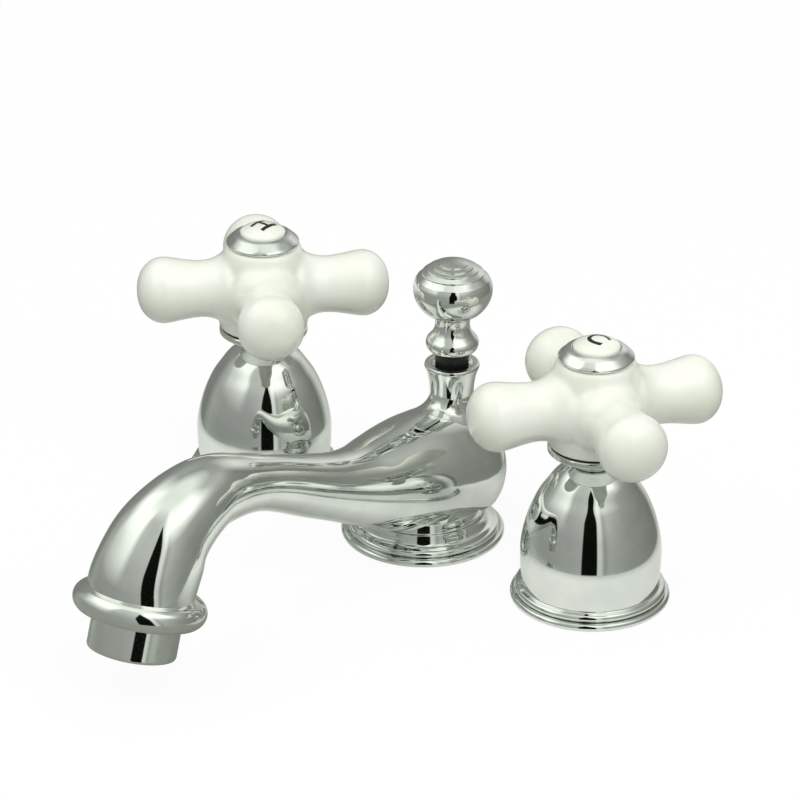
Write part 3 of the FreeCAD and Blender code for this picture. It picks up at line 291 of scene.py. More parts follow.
def smooth_through(points: Sequence[Vector], steps: int) -> list[Vector]:
    """Draw a smooth line through points, with spans of very different lengths kept free of loops.

    Args:
        points: Two or more points in two or more dimensions.
        steps: Pieces that each span is cut into.

    Returns:
        The line's points, the given ones among them.
    """
    padded = [points[0] * 2 - points[1], *points, points[-1] * 2 - points[-2]]
    line = [points[0]]
    for before, start, end, after in zip(padded, padded[1:], padded[2:], padded[3:]):
        pairs = ((before, start), (start, end), (end, after))
        first, middle, last = (max((b - a).length, TINY) ** 0.5 for a, b in pairs)
        leave = ((start - before) / first - (end - before) / (first + middle)
                 + (end - start) / middle) * middle
        arrive = ((end - start) / middle - (after - start) / (middle + last)
                  + (after - end) / last) * middle
        for step in range(1, steps + 1):
            t = step / steps
            line.append(start * (2 * t ** 3 - 3 * t ** 2 + 1) + leave * (t ** 3 - 2 * t ** 2 + t)
                        + end * (3 * t ** 2 - 2 * t ** 3) + arrive * (t ** 3 - t ** 2))
    return line


def arc(centre: Point, radius: float, start: float = -80.0, end: float = 80.0, count: int = 8) -> Run:
    """Draw a circle's arc, by default the outside of a bead.

    Args:
        centre: The circle's centre.
        radius: Its radius.
        start: The first angle in degrees, 0 pointing outwards and 90 up.
        end: The last angle.
        count: Points after the first.

    Returns:
        The arc's points.
    """
    angles = [math.radians(start + (end - start) * step / count) for step in range(count + 1)]
    return tuple((centre[0] + radius * math.cos(a), centre[1] + radius * math.sin(a)) for a in angles)


@dataclass(frozen=True)
class Outline:
    """Half of a turned piece's section, as legs to points (radius, height).

    Each leg starts where the one before it ended, and the first starts where the last ends. A leg
    to a point is straight, a leg to a run of points is a smooth line through them, and the corners
    between legs are eased.

    Attributes:
        legs: The legs, in order.
        ease: How far from a corner its easing starts, in mm.
        steps: Pieces that each span of a smooth line is cut into.
        bend: Degrees by which a line has to bend to count as a corner.
        cleared: Easings next to a corner in which a line's own points are dropped.
        straight: Easings from which on a line counts as straight and gets a second point.
    """

    legs: tuple[Point | Run, ...]
    ease: float = 0.22
    steps: int = 5
    bend: float = 8.0
    cleared: float = 1.05
    straight: float = 3.0

    def points(self) -> list[Vector]:
        """Draw the legs and ease the corners between them.

        Returns:
            The outline's points in order, from the axis to the axis or once around.
        """
        runs = [leg if isinstance(leg[0], tuple) else (leg,) for leg in self.legs]
        lines = []
        for before, run in zip(runs[-1:] + runs, runs):
            through = [Vector(before[-1]), *(Vector(p) for p in run)]
            lines.append(smooth_through(through, self.steps) if len(run) > 1 else through)
        on_axis = max(runs[-1][-1][0], runs[0][0][0]) < ON_AXIS
        if on_axis:
            lines = lines[1:]
        points: list[Vector] = []
        for index, line in enumerate(lines):
            corner, after = line[-1], lines[(index + 1) % len(lines)][1]
            starts, ends = on_axis and index == 0, on_axis and index == len(lines) - 1
            eased = not starts and self.is_corner(lines[index - 1][-2], line[0], line[1])
            if not ends and self.is_corner(line[-2], corner, after):
                line = self.cut_back(line, line[0]) if eased else line
                line = self.cut_back(line[::-1], corner)[::-1]
                ahead = after - corner
                leaving = corner + ahead.normalized() * min(self.ease, ahead.length / 2)
                line += [mix_points(mix_points(line[-1], corner, t), mix_points(corner, leaving, t), t)
                         for t in (0.25, 0.5, 0.75)]
            elif eased:
                line = self.cut_back(line, line[0])
            points += line if starts or eased else line[1:]
        return points

    def is_corner(self, before: Vector, corner: Vector, after: Vector) -> bool:
        """Say whether the line bends by more than a few degrees at a point off the axis.

        Args:
            before: The point before.
            corner: The point itself.
            after: The point after.

        Returns:
            True for a corner.
        """
        if corner[0] < ON_AXIS or (corner - before).length < TINY or (after - corner).length < TINY:
            return False
        return (corner - before).angle(after - corner) > math.radians(self.bend)

    def cut_back(self, line: list[Vector], corner: Vector) -> list[Vector]:
        """Drop a line's points within an easing's reach of the corner before it.

        Args:
            line: The line's points, with or without the corner.
            corner: The corner.

        Returns:
            The line from the easing's edge on, with a second point close by where it runs straight.
        """
        rest = [p for p in line if (p - corner).length > self.ease * self.cleared] or [line[-1]]
        towards = (rest[0] - corner).normalized()
        edge = corner + towards * min(self.ease, (rest[0] - corner).length / 2)
        if (rest[0] - edge).length > self.ease * self.straight:
            return [edge, edge + towards * self.ease / 2, *rest]
        return [edge, *rest]


def turned(outline: Outline, steps: int = TURN) -> BMesh:
    """Spin an outline about the Z axis into a closed shell.

    Args:
        outline: Half of the section.
        steps: Facets around.

    Returns:
        The new mesh, in metres.
    """
    mesh = bmesh.new()
    points = outline.points()
    verts = [mesh.verts.new((p[0] * MM, 0.0, p[1] * MM)) for p in points]
    edges = [mesh.edges.new(pair) for pair in zip(verts, verts[1:])]
    if max(abs(points[0][0]), abs(points[-1][0])) > ON_AXIS:
        edges.append(mesh.edges.new((verts[-1], verts[0])))
    bmesh.ops.spin(mesh, geom=verts + edges, cent=(0, 0, 0), axis=(0, 0, 1), dvec=(0, 0, 0),
                   angle=math.tau, steps=steps, use_merge=True, use_duplicate=False)
    bmesh.ops.remove_doubles(mesh, verts=mesh.verts, dist=WELD)
    bmesh.ops.recalc_face_normals(mesh, faces=mesh.faces)
    return mesh


def moved(mesh: BMesh, matrix: Matrix) -> BMesh:
    """Move a whole mesh by a matrix and return it."""
    bmesh.ops.transform(mesh, matrix=matrix, verts=mesh.verts)
    return mesh


def at(x: float = 0.0, y: float = 0.0, z: float = 0.0) -> Matrix:
    """Return the matrix that moves by millimetres."""
    return Matrix.Translation(Vector((x, y, z)) * MM)


def cut_across(mesh: BMesh, point: Vector, normal: Sequence[float], **options: Any) -> None:
    """Cut all of a mesh along a plane through a point."""
    bmesh.ops.bisect_plane(mesh, geom=mesh.verts[:] + mesh.edges[:] + mesh.faces[:], dist=CUT,
                           plane_co=point, plane_no=normal, **options)


def mesh_data(name: str, mesh: BMesh) -> Mesh:
    """Turn a working mesh into mesh data.

    Args:
        name: The data's name.
        mesh: The working mesh, which is freed.

    Returns:
        The new data.
    """
    data = bpy.data.meshes.new(name)
    mesh.to_mesh(data)
    mesh.free()
    return data


def put_in_scene(name: str, data: Any) -> Object:
    """Add an object to the scene.

    Args:
        name: The object's name.
        data: Its mesh, text, camera or lamp.

    Returns:
        The new object.
    """
    thing = bpy.data.objects.new(name, data)
    bpy.context.scene.collection.objects.link(thing)
    return thing


def taken_out(holder: Object) -> BMesh:
    """Take a shape, with its modifiers, out of the scene.

    Args:
        holder: The object with the shape, which is removed.

    Returns:
        The shape as a working mesh.
    """
    source = holder.evaluated_get(bpy.context.evaluated_depsgraph_get())
    data = bpy.data.meshes.new_from_object(source)
    bpy.data.objects.remove(holder)
    mesh = bmesh.new()
    mesh.from_mesh(data)
    bpy.data.meshes.remove(data)
    return mesh


def joined(*meshes: BMesh) -> BMesh:
    """Put several meshes into one.

    Args:
        meshes: The meshes, of which all but the first are freed.

    Returns:
        The first mesh, with the others in it.
    """
    for other in meshes[1:]:
        held = mesh_data("joining", other)
        meshes[0].from_mesh(held)
        bpy.data.meshes.remove(held)
    return meshes[0]


def finish_piece(name: str, mesh: BMesh, body: Body, finish: Finish, *stands_for: str) -> None:
    """Make a finished piece of a mesh: its object, its material, its body and what it stands for.

    Args:
        name: The piece's name.
        mesh: Its mesh in place, which is freed.
        body: The body that it rides on.
        finish: Its surface finish.
        stands_for: CAD nodes that it takes the place of.
    """
    piece = put_in_scene(name, mesh_data(name, mesh))
    piece.data.shade_smooth()
    piece.data.materials.append(finish.build())
    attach(piece, body.value)
    if stands_for:
        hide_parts(*stands_for)
    log.info("%s: %d faces on %s, stands for %s", name, len(piece.data.polygons), body.value,
             ", ".join(stands_for) or "none")


# The valves and their handles


@dataclass(frozen=True)
class Side:
    """One valve of the faucet.

    Attributes:
        label: The start of its pieces' names.
        axis: Its distance from the spout's centre along X.
        arm_turn: The turn of its cross at rest, in degrees.
        letter: The letter on its index button.
        handle: The body that its handle turns with.
    """

    label: str
    axis: float
    arm_turn: float
    letter: str
    handle: Body

    def finish(self, name: str, mesh: BMesh, body: Body, finish: Finish, *nodes: str,
               turn: float = 0.0) -> None:
        """Stand a piece on this valve's axis and finish it.

        Args:
            name: The piece's name, without the side.
            mesh: Its mesh about the origin, which is freed.
            body: The body that it rides on.
            finish: Its surface finish.
            nodes: The CAD node that it takes the place of, without the side, if there is one.
            turn: Its turn about the axis, in degrees.
        """
        moved(mesh, at(x=self.axis) @ Matrix.Rotation(math.radians(turn), 4, "Z"))
        finish_piece(f"{self.label}_{name}", mesh, body, finish, *(f"{self.label}_{n}" for n in nodes))


@dataclass(frozen=True)
class Bell:
    """The domed escutcheon over a valve, with two beads at its foot and hollow inside."""

    side: Side
    foot: Run = ((19.8, 0.0), (21.4, 0.0))
    beads: tuple[Run, ...] = (arc((21.4, 1.1), 1.1), arc((20.2, 3.3), 1.1))
    dome: Run = ((19.5, 4.73), (19.4, 5.2), (19.6, 8.0), (19.8, 12.0), (19.84, 16.0), (19.3, 20.0),
                 (18.3, 24.0), (16.9, 28.0), (15.0, 32.0), (13.0, 35.0), (10.85, 38.0), (8.65, 40.0),
                 (6.5, 41.5))
    inside: Run = dome[9:1:-1]  # the part of the dome that the hollow follows, from the top down
    hole: Run = ((6.2, 41.5), (6.2, 39.6), (11.4, 33.4))
    wall: Point = (1.6, 0.48)
    rebate: Point = (19.8, 1.2)

    def build(self) -> None:
        """Turn the bell and stand it on its valve."""
        hollow = tuple((r - self.wall[0], z - self.wall[1]) for r, z in self.inside)
        outline = Outline((*self.foot, *self.beads, self.dome, *self.hole, hollow, self.rebate), ease=0.15)
        self.side.finish("domed_bell", turned(outline, WIDE_TURN), Body.ROOT, CHROME, "bell")


@dataclass(frozen=True)
class Hub:
    """The chrome neck and saucer under the porcelain, with a lip round its seat."""

    side: Side
    foot: Run = ((3.9, 41.0), (5.9, 41.0))
    saucer: Run = ((5.9, 43.5), (6.2, 44.2), (7.3, 44.9), (9.2, 45.3), (11.2, 45.55), (12.6, 45.7))
    rim: Run = ((12.9, 46.0), (12.9, 47.2), (12.6, 47.55), (12.0, 47.55), (12.0, 47.2))
    sleeve: Run = ((6.0, 47.2), (6.0, 72.0), (4.6, 72.0))
    stem_seat: Run = ((4.6, 53.6), (2.6, 53.6), (2.6, 50.8), (3.9, 50.8))

    def build(self) -> None:
        """Turn the hub with its bore for the stem."""
        outline = Outline((*self.foot, self.saucer, *self.rim, *self.sleeve, *self.stem_seat), ease=0.12)
        self.side.finish("saucer_hub", turned(outline), self.side.handle, CHROME, "hub")


@dataclass(frozen=True)
class Cross:
    """The porcelain cross: a round hub and four waisted arms, blended as one glazed casting."""

    side: Side
    top: float = 73.7
    arm_height: float = 60.0
    arms: int = 4
    body: Run = ((12.6, 47.8), (12.95, 48.1), (13.0, 50.0), (13.0, 55.0), (12.95, 60.0), (12.55, 66.0),
                 (11.75, 70.5), (11.0, 72.8), (10.3, 73.6), (9.0, 73.7))
    arm: Run = ((11.0, 11.2), (9.6, 13.0), (8.6, 15.5), (8.3, 18.5), (8.8, 23.0), (9.5, 26.8),
                (9.8, 29.65), (8.95, 32.4), (7.0, 34.7), (4.9, 36.0), (2.2, 36.75), (0.0, 36.9))
    voxel: float = 0.5
    smoothings: int = 14

    def build(self) -> None:
        """Blend the hub and arms and set them on their valve."""
        edge, bottom = self.body[0]
        hub = Outline(((0.0, bottom), (edge, bottom), self.body, (0.0, self.top)), ease=0.2)
        limb = Outline(((0.0, 0.0), (self.arm[0][0], 0.0), self.arm[0], self.arm), ease=0.2)
        arms = [moved(turned(limb, SMALL_TURN), at(z=self.arm_height)
                      @ Matrix.Rotation(math.tau * index / self.arms, 4, "Z")
                      @ Matrix.Rotation(math.pi / 2, 4, "Y")) for index in range(self.arms)]
        mesh = blended(joined(turned(hub), *arms), self.voxel, self.smoothings)
        self.side.finish("porcelain_cross", mesh, self.side.handle, PORCELAIN, "cross",
                         turn=self.side.arm_turn)


def blended(mesh: BMesh, voxel: float, smoothings: int) -> BMesh:
    """Melt overlapping shells into one even skin and smooth the seams between them.

    Args:
        mesh: Closed shells that overlap, which is freed.
        voxel: Width of the skin's facets in mm.
        smoothings: Rounds of smoothing.

    Returns:
        The one new shell.
    """
    data = mesh_data("blending", mesh)
    holder = put_in_scene("blending", data)
    remesh = holder.modifiers.new("skin", "REMESH")
    remesh.mode = "VOXEL"
    remesh.voxel_size = voxel * MM
    skin = taken_out(holder)
    bpy.data.meshes.remove(data)
    for _ in range(smoothings):
        bmesh.ops.smooth_vert(skin, verts=skin.verts, factor=0.5, use_axis_x=True, use_axis_y=True,
                              use_axis_z=True)
    bmesh.ops.recalc_face_normals(skin, faces=skin.faces)
    return skin


@dataclass(frozen=True)
class Index:
    """The chrome ring on top of the cross, and the domed button with its letter."""

    side: Side
    skirt: Run = ((6.1, 66.5), (7.7, 66.5), (7.7, 73.7), (10.15, 73.7))
    slope: Run = ((10.5, 74.05), (10.6, 74.45), (10.35, 74.85), (9.4, 75.75), (8.3, 76.65), (7.25, 77.1))
    socket: Run = ((6.9, 77.15), (6.7, 77.0), (6.7, 74.6), (6.1, 74.6))
    button: Run = ((0.0, 74.6), (6.6, 74.6), (6.6, 77.45))
    dome_edge: Point = (6.6, 77.7)
    dome_radii: tuple[float, ...] = (6.3, 5.6, 4.7, 3.7, 2.6, 1.4, 0.0)
    crown: float = 79.8
    letter_height: float = 6.2
    capital_share: float = 0.72
    stroke: float = 0.15
    letter_raise: float = 0.05
    letter_depth: float = 0.2
    letter_grid: float = 0.5

    def dome(self, distance: float) -> float:
        """Work out the height of the button's dome.

        Args:
            distance: From the button's centre.

        Returns:
            The height there.
        """
        rise = self.crown - self.dome_edge[1]
        sphere = (self.dome_edge[0] ** 2 + rise ** 2) / (2 * rise)
        return self.crown - sphere + math.sqrt(max(sphere ** 2 - distance ** 2, 0.0))

    def build(self) -> None:
        """Make the ring, the button and the letter."""
        self.build_ring()
        self.build_button()
        self.build_letter()

    def build_ring(self) -> None:
        """Turn the ring, with the skirt that screws down on the hub."""
        outline = Outline((*self.skirt, self.slope, *self.socket), ease=0.12)
        self.side.finish("index_ring", turned(outline), self.side.handle, CHROME, "index_bezel")

    def build_button(self) -> None:
        """Turn the domed button."""
        outline = Outline((*self.button, tuple((r, self.dome(r)) for r in self.dome_radii)), ease=0.2)
        mesh = turned(outline, SMALL_TURN)
        self.side.finish("porcelain_button", mesh, self.side.handle, PORCELAIN, "index_button")

    def build_letter(self) -> None:
        """Lay the letter on the dome, upright for someone in front of the basin."""
        curve = bpy.data.curves.new("letter", "FONT")
        curve.body = self.side.letter
        curve.align_x = "CENTER"
        curve.align_y = "CENTER"
        curve.size = self.letter_height * MM / self.capital_share
        curve.offset = self.stroke * MM
        curve.resolution_u = 6
        mesh = taken_out(put_in_scene("letter", curve))
        bmesh.ops.remove_doubles(mesh, verts=mesh.verts, dist=WELD)
        reach = int(self.letter_height / self.letter_grid)
        for step in range(-reach, reach + 1):
            for normal in ((1, 0, 0), (0, 1, 0)):
                cut_across(mesh, Vector(normal) * step * self.letter_grid * MM, normal)
        bmesh.ops.recalc_face_normals(mesh, faces=mesh.faces)
        raised = bmesh.ops.extrude_face_region(mesh, geom=mesh.faces[:])["geom"]
        top = {item for item in raised if isinstance(item, BMVert)}
        for vert in mesh.verts:
            lift = self.letter_raise if vert in top else -self.letter_depth
            vert.co.z = (self.dome(math.hypot(vert.co.x, vert.co.y) / MM) + lift) * MM
        bmesh.ops.recalc_face_normals(mesh, faces=mesh.faces)
        self.side.finish("index_letter", mesh, self.side.handle, ENAMEL)


# The spout


@dataclass(frozen=True)
class Outlet:
    """The lower end of the spout: how far forward and up it is, and its tilt in degrees."""

    out: float = 124.4
    up: float = 13.65
    tilt: float = -17.0

    def place(self) -> Matrix:
        """Return the move from the origin to the outlet."""
        return at(y=-self.out, z=self.up) @ Matrix.Rotation(math.radians(self.tilt), 4, "X")


@dataclass(frozen=True)
class SwanSpout:
    """The cast spout: a swan neck that swells into a bulb, with a collared neck and an outlet bead.

    Stations hold the distance forward, the height, the radius and the tilt of the section.
    """

    stations: tuple[tuple[float, float, float, float], ...] = (
        (120.5, 26.4, 14.75, 73.0), (119.3, 32.0, 14.75, 67.0), (114.35, 39.4, 14.1, 52.0),
        (109.2, 44.4, 12.85, 34.8), (98.8, 48.3, 11.2, 12.5), (89.3, 48.6, 9.88, -6.5),
        (71.7, 43.75, 7.95, -20.9), (50.3, 34.3, 8.97, -24.5), (40.0, 30.0, 9.88, -19.0),
        (29.87, 26.34, 11.7, -13.0), (21.88, 24.5, 13.69, -13.0), (14.2, 22.73, 15.59, -13.0),
        (6.29, 20.9, 17.12, -13.0), (-1.5, 19.1, 18.01, -13.0))
    bulb_back: float = 9.3
    bulb_height: float = 17.3
    bulb_radius: float = 18.3
    bulb_tilt: float = -13.0
    foot: float = 8.6
    waist_foot: Run = ((0.0, 1.6), (16.6, 1.6), (16.6, 7.6))
    waist: Run = ((17.6, 7.7), (17.55, 8.6), (17.3, 10.4))
    waist_top: Run = ((14.0, 12.0), (0.0, 12.0))
    neck_back: float = 12.75
    neck_radius: float = 6.35
    neck_wall: Run = ((6.35, 38.0), (6.35, 40.4), (6.45, 42.4), (6.75, 44.6), (7.3, 46.8), (7.94, 48.4))
    root: Run = ((0.0, 36.0), (6.35, 36.0))
    root_tip: float = 30.0
    collar: Run = ((7.95, 48.7), (7.75, 49.25), (7.3, 49.4))
    rim: Point = (6.25, 49.4)
    mouth: Run = ((6.1, 49.0), (5.5, 47.8), (4.8, 45.4))
    mouth_floor: Run = ((4.8, 40.0), (0.0, 40.0))
    fillet: float = 4.6
    fillet_pull_share: float = 0.56
    fillet_sunk: float = 0.02
    fillet_start: float = 2.0
    above: float = 60.0
    bead_foot: Run = ((10.8, 10.2), (12.6, 10.48))
    bead_roll: Run = ((13.4, 10.1), *arc((14.75, 13.3), 3.57, -60, 75, 9))
    bead_top: Run = ((14.35, 17.47), (10.8, 16.87))
    outlet: Outlet = Outlet()
    rings: int = 96
    fineness: int = 7
    rear_steps: int = 12
    flare_steps: int = 12

    def section(self, out: float, up: float, radius: float, tilt: float) -> Matrix:
        """Return the matrix that puts a unit circle across the spout's path at one station."""
        return (at(y=-out, z=up) @ Matrix.Rotation(math.radians(tilt - 90.0), 4, "X")
                @ Matrix.Diagonal((radius * MM, radius * MM, MM, 1.0)))

    def path(self) -> list[Matrix]:
        """Follow the spout from the outlet back over the crown and round the bulb's rear.

        Returns:
            The sections on the way.
        """
        fine = self.fineness
        line = smooth_through([Vector(station) for station in self.stations], fine)
        slope = math.radians(self.bulb_tilt)
        rear = []
        for step in range(self.rear_steps):
            angle = math.pi / 2 * step / self.rear_steps
            back = self.bulb_radius * math.sin(angle)
            rear.append(Vector((-self.bulb_back - back * math.cos(slope),
                                self.bulb_height + back * math.sin(slope),
                                self.bulb_radius * math.cos(angle), self.bulb_tilt)))
        bridge = smooth_through([line[-1 - fine], line[-1], rear[0], rear[2]], fine)[fine:2 * fine]
        return [self.section(*row) for row in line[:-1] + bridge + rear[1:]]

    def skin(self) -> BMesh:
        """Draw a ring back along the path and close both its ends.

        Returns:
            The skin, cut off flat at the foot.
        """
        mesh = bmesh.new()
        bmesh.ops.create_circle(mesh, segments=self.rings, radius=1.0, cap_ends=True)
        sections = self.path()
        moved(mesh, sections[0])
        ring = mesh.edges[:]
        for before, after in zip(sections, sections[1:]):
            ring, verts = drawn_out(mesh, ring)
            bmesh.ops.transform(mesh, matrix=after @ before.inverted(), verts=verts)
        bmesh.ops.contextual_create(mesh, geom=ring)
        cut_across(mesh, Vector((0, 0, self.foot * MM)), (0, 0, -1), clear_outer=True)
        bmesh.ops.holes_fill(mesh, edges=mesh.edges)
        bmesh.ops.recalc_face_normals(mesh, faces=mesh.faces)
        return mesh

    def neck(self) -> BMesh:
        """Turn the collared neck, with a pointed root that stays inside the bulb.

        Returns:
            The neck, in place.
        """
        outline = Outline((*self.root, self.neck_wall, self.collar, self.rim, self.mouth,
                           *self.mouth_floor), ease=0.12)
        mesh = moved(turned(outline, self.rings), at(y=self.neck_back))
        poles = [v for v in mesh.verts if math.hypot(v.co.x, v.co.y - self.neck_back * MM) < ON_AXIS]
        min(poles, key=lambda vert: vert.co.z).co.z = self.root_tip * MM
        return mesh

    def flare(self, ground: BVHTree) -> BMesh:
        """Draw the flare between the neck's wall and the skin as rings that run down and outwards.

        Args:
            ground: The skin, as a tree that rays can hit.

        Returns:
            The flare, in place.
        """
        flare = bmesh.new()
        bmesh.ops.create_circle(flare, segments=self.rings, radius=self.neck_radius * MM, cap_ends=False)
        axis = Vector((0.0, self.neck_back * MM, 0.0))
        bmesh.ops.translate(flare, verts=flare.verts, vec=axis)
        layer = flare.verts.layers.int.new("spoke")
        above = Vector((0, 0, self.above * MM))
        down = Vector((0, 0, -1))
        pull = self.fillet * self.fillet_pull_share * MM
        spokes = []
        for index, vert in enumerate(flare.verts):
            vert[layer] = index
            out = (vert.co - axis).normalized()
            spread = axis + out * (self.neck_radius + self.fillet) * MM
            foot, normal = ground.ray_cast(spread + above, down)[:2]
            along = (out - normal * out.dot(normal)).normalized()
            top = ground.ray_cast(vert.co + above, down)[0] + Vector((0, 0, self.fillet * MM))
            spokes.append((top, top + down * pull, foot - along * pull,
                           foot - normal * self.fillet_sunk * MM))
        for vert in flare.verts:
            vert.co = spokes[vert[layer]][0] - down * self.fillet_start * MM
        ring = flare.edges[:]
        for step in range(self.flare_steps + 2):
            ring, verts = drawn_out(flare, ring)
            t = min(step / self.flare_steps, 1.0)
            sunk = down * MM if step > self.flare_steps else Vector()
            for vert in verts:
                a, b, c, d = spokes[vert[layer]]
                vert.co = (a * (1 - t) ** 3 + b * 3 * t * (1 - t) ** 2 + c * 3 * t ** 2 * (1 - t)
                           + d * t ** 3 + sunk)
        bmesh.ops.holes_fill(flare, edges=flare.edges)
        bmesh.ops.recalc_face_normals(flare, faces=flare.faces)
        return flare

    def build(self) -> None:
        """Make the whole casting."""
        skin = self.skin()
        flare = self.flare(BVHTree.FromBMesh(skin))
        base = Outline((*self.waist_foot, self.waist, *self.waist_top))
        bead = Outline((*self.bead_foot, self.bead_roll, *self.bead_top), ease=0.15)
        casting = joined(skin, joined(self.neck(), flare), turned(base),
                         moved(turned(bead), self.outlet.place()))
        finish_piece("swan_spout", casting, Body.ROOT, CHROME, "spout_body")


def drawn_out(mesh: BMesh, ring: list[BMEdge]) -> tuple[list[BMEdge], list[BMVert]]:
    """Draw a new ring out of a ring of edges.

    Args:
        mesh: The mesh that the ring belongs to.
        ring: Its edges.

    Returns:
        The new ring's edges and its points.
    """
    grown = bmesh.ops.extrude_edge_only(mesh, edges=ring)["geom"]
    return ([item for item in grown if isinstance(item, BMEdge)],
            [item for item in grown if isinstance(item, BMVert)])


@dataclass(frozen=True)
class Flange:
    """The beaded plate that the spout stands in."""

    foot: Run = ((17.0, 1.2), (21.4, 1.2), (21.4, 0.0), (22.5, 0.0))
    beads: tuple[Run, ...] = (arc((22.5, 1.1), 1.1), arc((20.95, 3.15), 0.95))
    shoulder: Run = ((19.6, 4.5), (18.9, 4.9), (18.5, 5.8), (18.25, 7.1))
    edge: Run = ((18.2, 7.6), (17.0, 7.6))

    def build(self) -> None:
        """Turn the flange."""
        outline = Outline((*self.foot, *self.beads, self.shoulder, *self.edge), ease=0.15)
        finish_piece("beaded_flange", turned(outline, WIDE_TURN), Body.ROOT, CHROME, "spout_flange")


@dataclass(frozen=True)
class Aerator:
    """The chrome shell screwed up into the outlet."""

    mouth: Run = ((8.3, 0.0), (11.75, 0.0))
    edge: Run = ((12.05, 0.1), (12.25, 0.6), (12.25, 1.6))
    thread: Run = ((12.25, 10.43), (10.6, 10.43), (10.6, 17.9))
    bore: Run = ((9.5, 17.9), (9.5, 1.2), (8.3, 1.2))
    outlet: Outlet = Outlet()

    def build(self) -> None:
        """Turn the shell about the outlet's axis."""
        outline = Outline((*self.mouth, self.edge, *self.thread, *self.bore), ease=0.12)
        mesh = moved(turned(outline), self.outlet.place())
        finish_piece("aerator_sleeve", mesh, Body.ROOT, CHROME, "aerator_shell")


@dataclass(frozen=True)
class LiftKnob:
    """The lift knob: a bead, a waist and a ball with four low steps on its crown."""

    back: float = SwanSpout.neck_back
    stem: Run = ((2.45, 30.05), (4.15, 30.05), (4.15, 52.3))
    bead: Run = ((4.4, 52.6), (5.4, 53.0), (6.3, 53.4), (7.2, 54.3), (7.6, 55.6), (7.35, 56.9), (6.4, 58.1),
                 (5.5, 59.4), (5.0, 61.0), (4.98, 62.4), (5.3, 63.6))
    waist: Point = (5.5, 64.1)
    ball: Run = ((6.6, 64.8), (8.4, 66.1), (10.2, 68.4), (11.2, 71.0), (11.3, 73.0), (11.0, 74.7),
                 (10.4, 75.95))
    steps: Run = ((8.85, 77.35), (8.85, 77.75), (7.4, 78.5), (7.4, 78.9), (5.9, 79.4), (5.9, 79.8),
                  (4.2, 80.2), (4.2, 80.5))
    crown: Run = ((2.8, 80.85), (1.4, 81.05), (0.0, 81.1))
    socket: Run = ((0.0, 46.1), (2.45, 46.1))
    sleeve: Run = ((4.15, 44.0), (4.4, 44.0), (4.4, 52.9), (4.15, 52.9))

    def build(self) -> None:
        """Turn the knob over its rod, and a thin black sleeve that darkens the collar's mouth."""
        knob = Outline((*self.stem, self.bead, self.waist, self.ball, *self.steps, self.crown,
                        *self.socket), ease=0.1)
        sleeve = Outline(self.sleeve, ease=0.05)
        finish_piece("turned_knob", moved(turned(knob), at(y=self.back)), Body.LIFT, CHROME, "lift_knob")
        finish_piece("dark_mouth_sleeve", moved(turned(sleeve), at(y=self.back)), Body.LIFT, JET)


# The room that the faucet stands in

# The sockets of a node that mixes two colours: its share, both colours and its result.
SHARE, LOWER, UPPER, MIXED = 0, 6, 7, 2


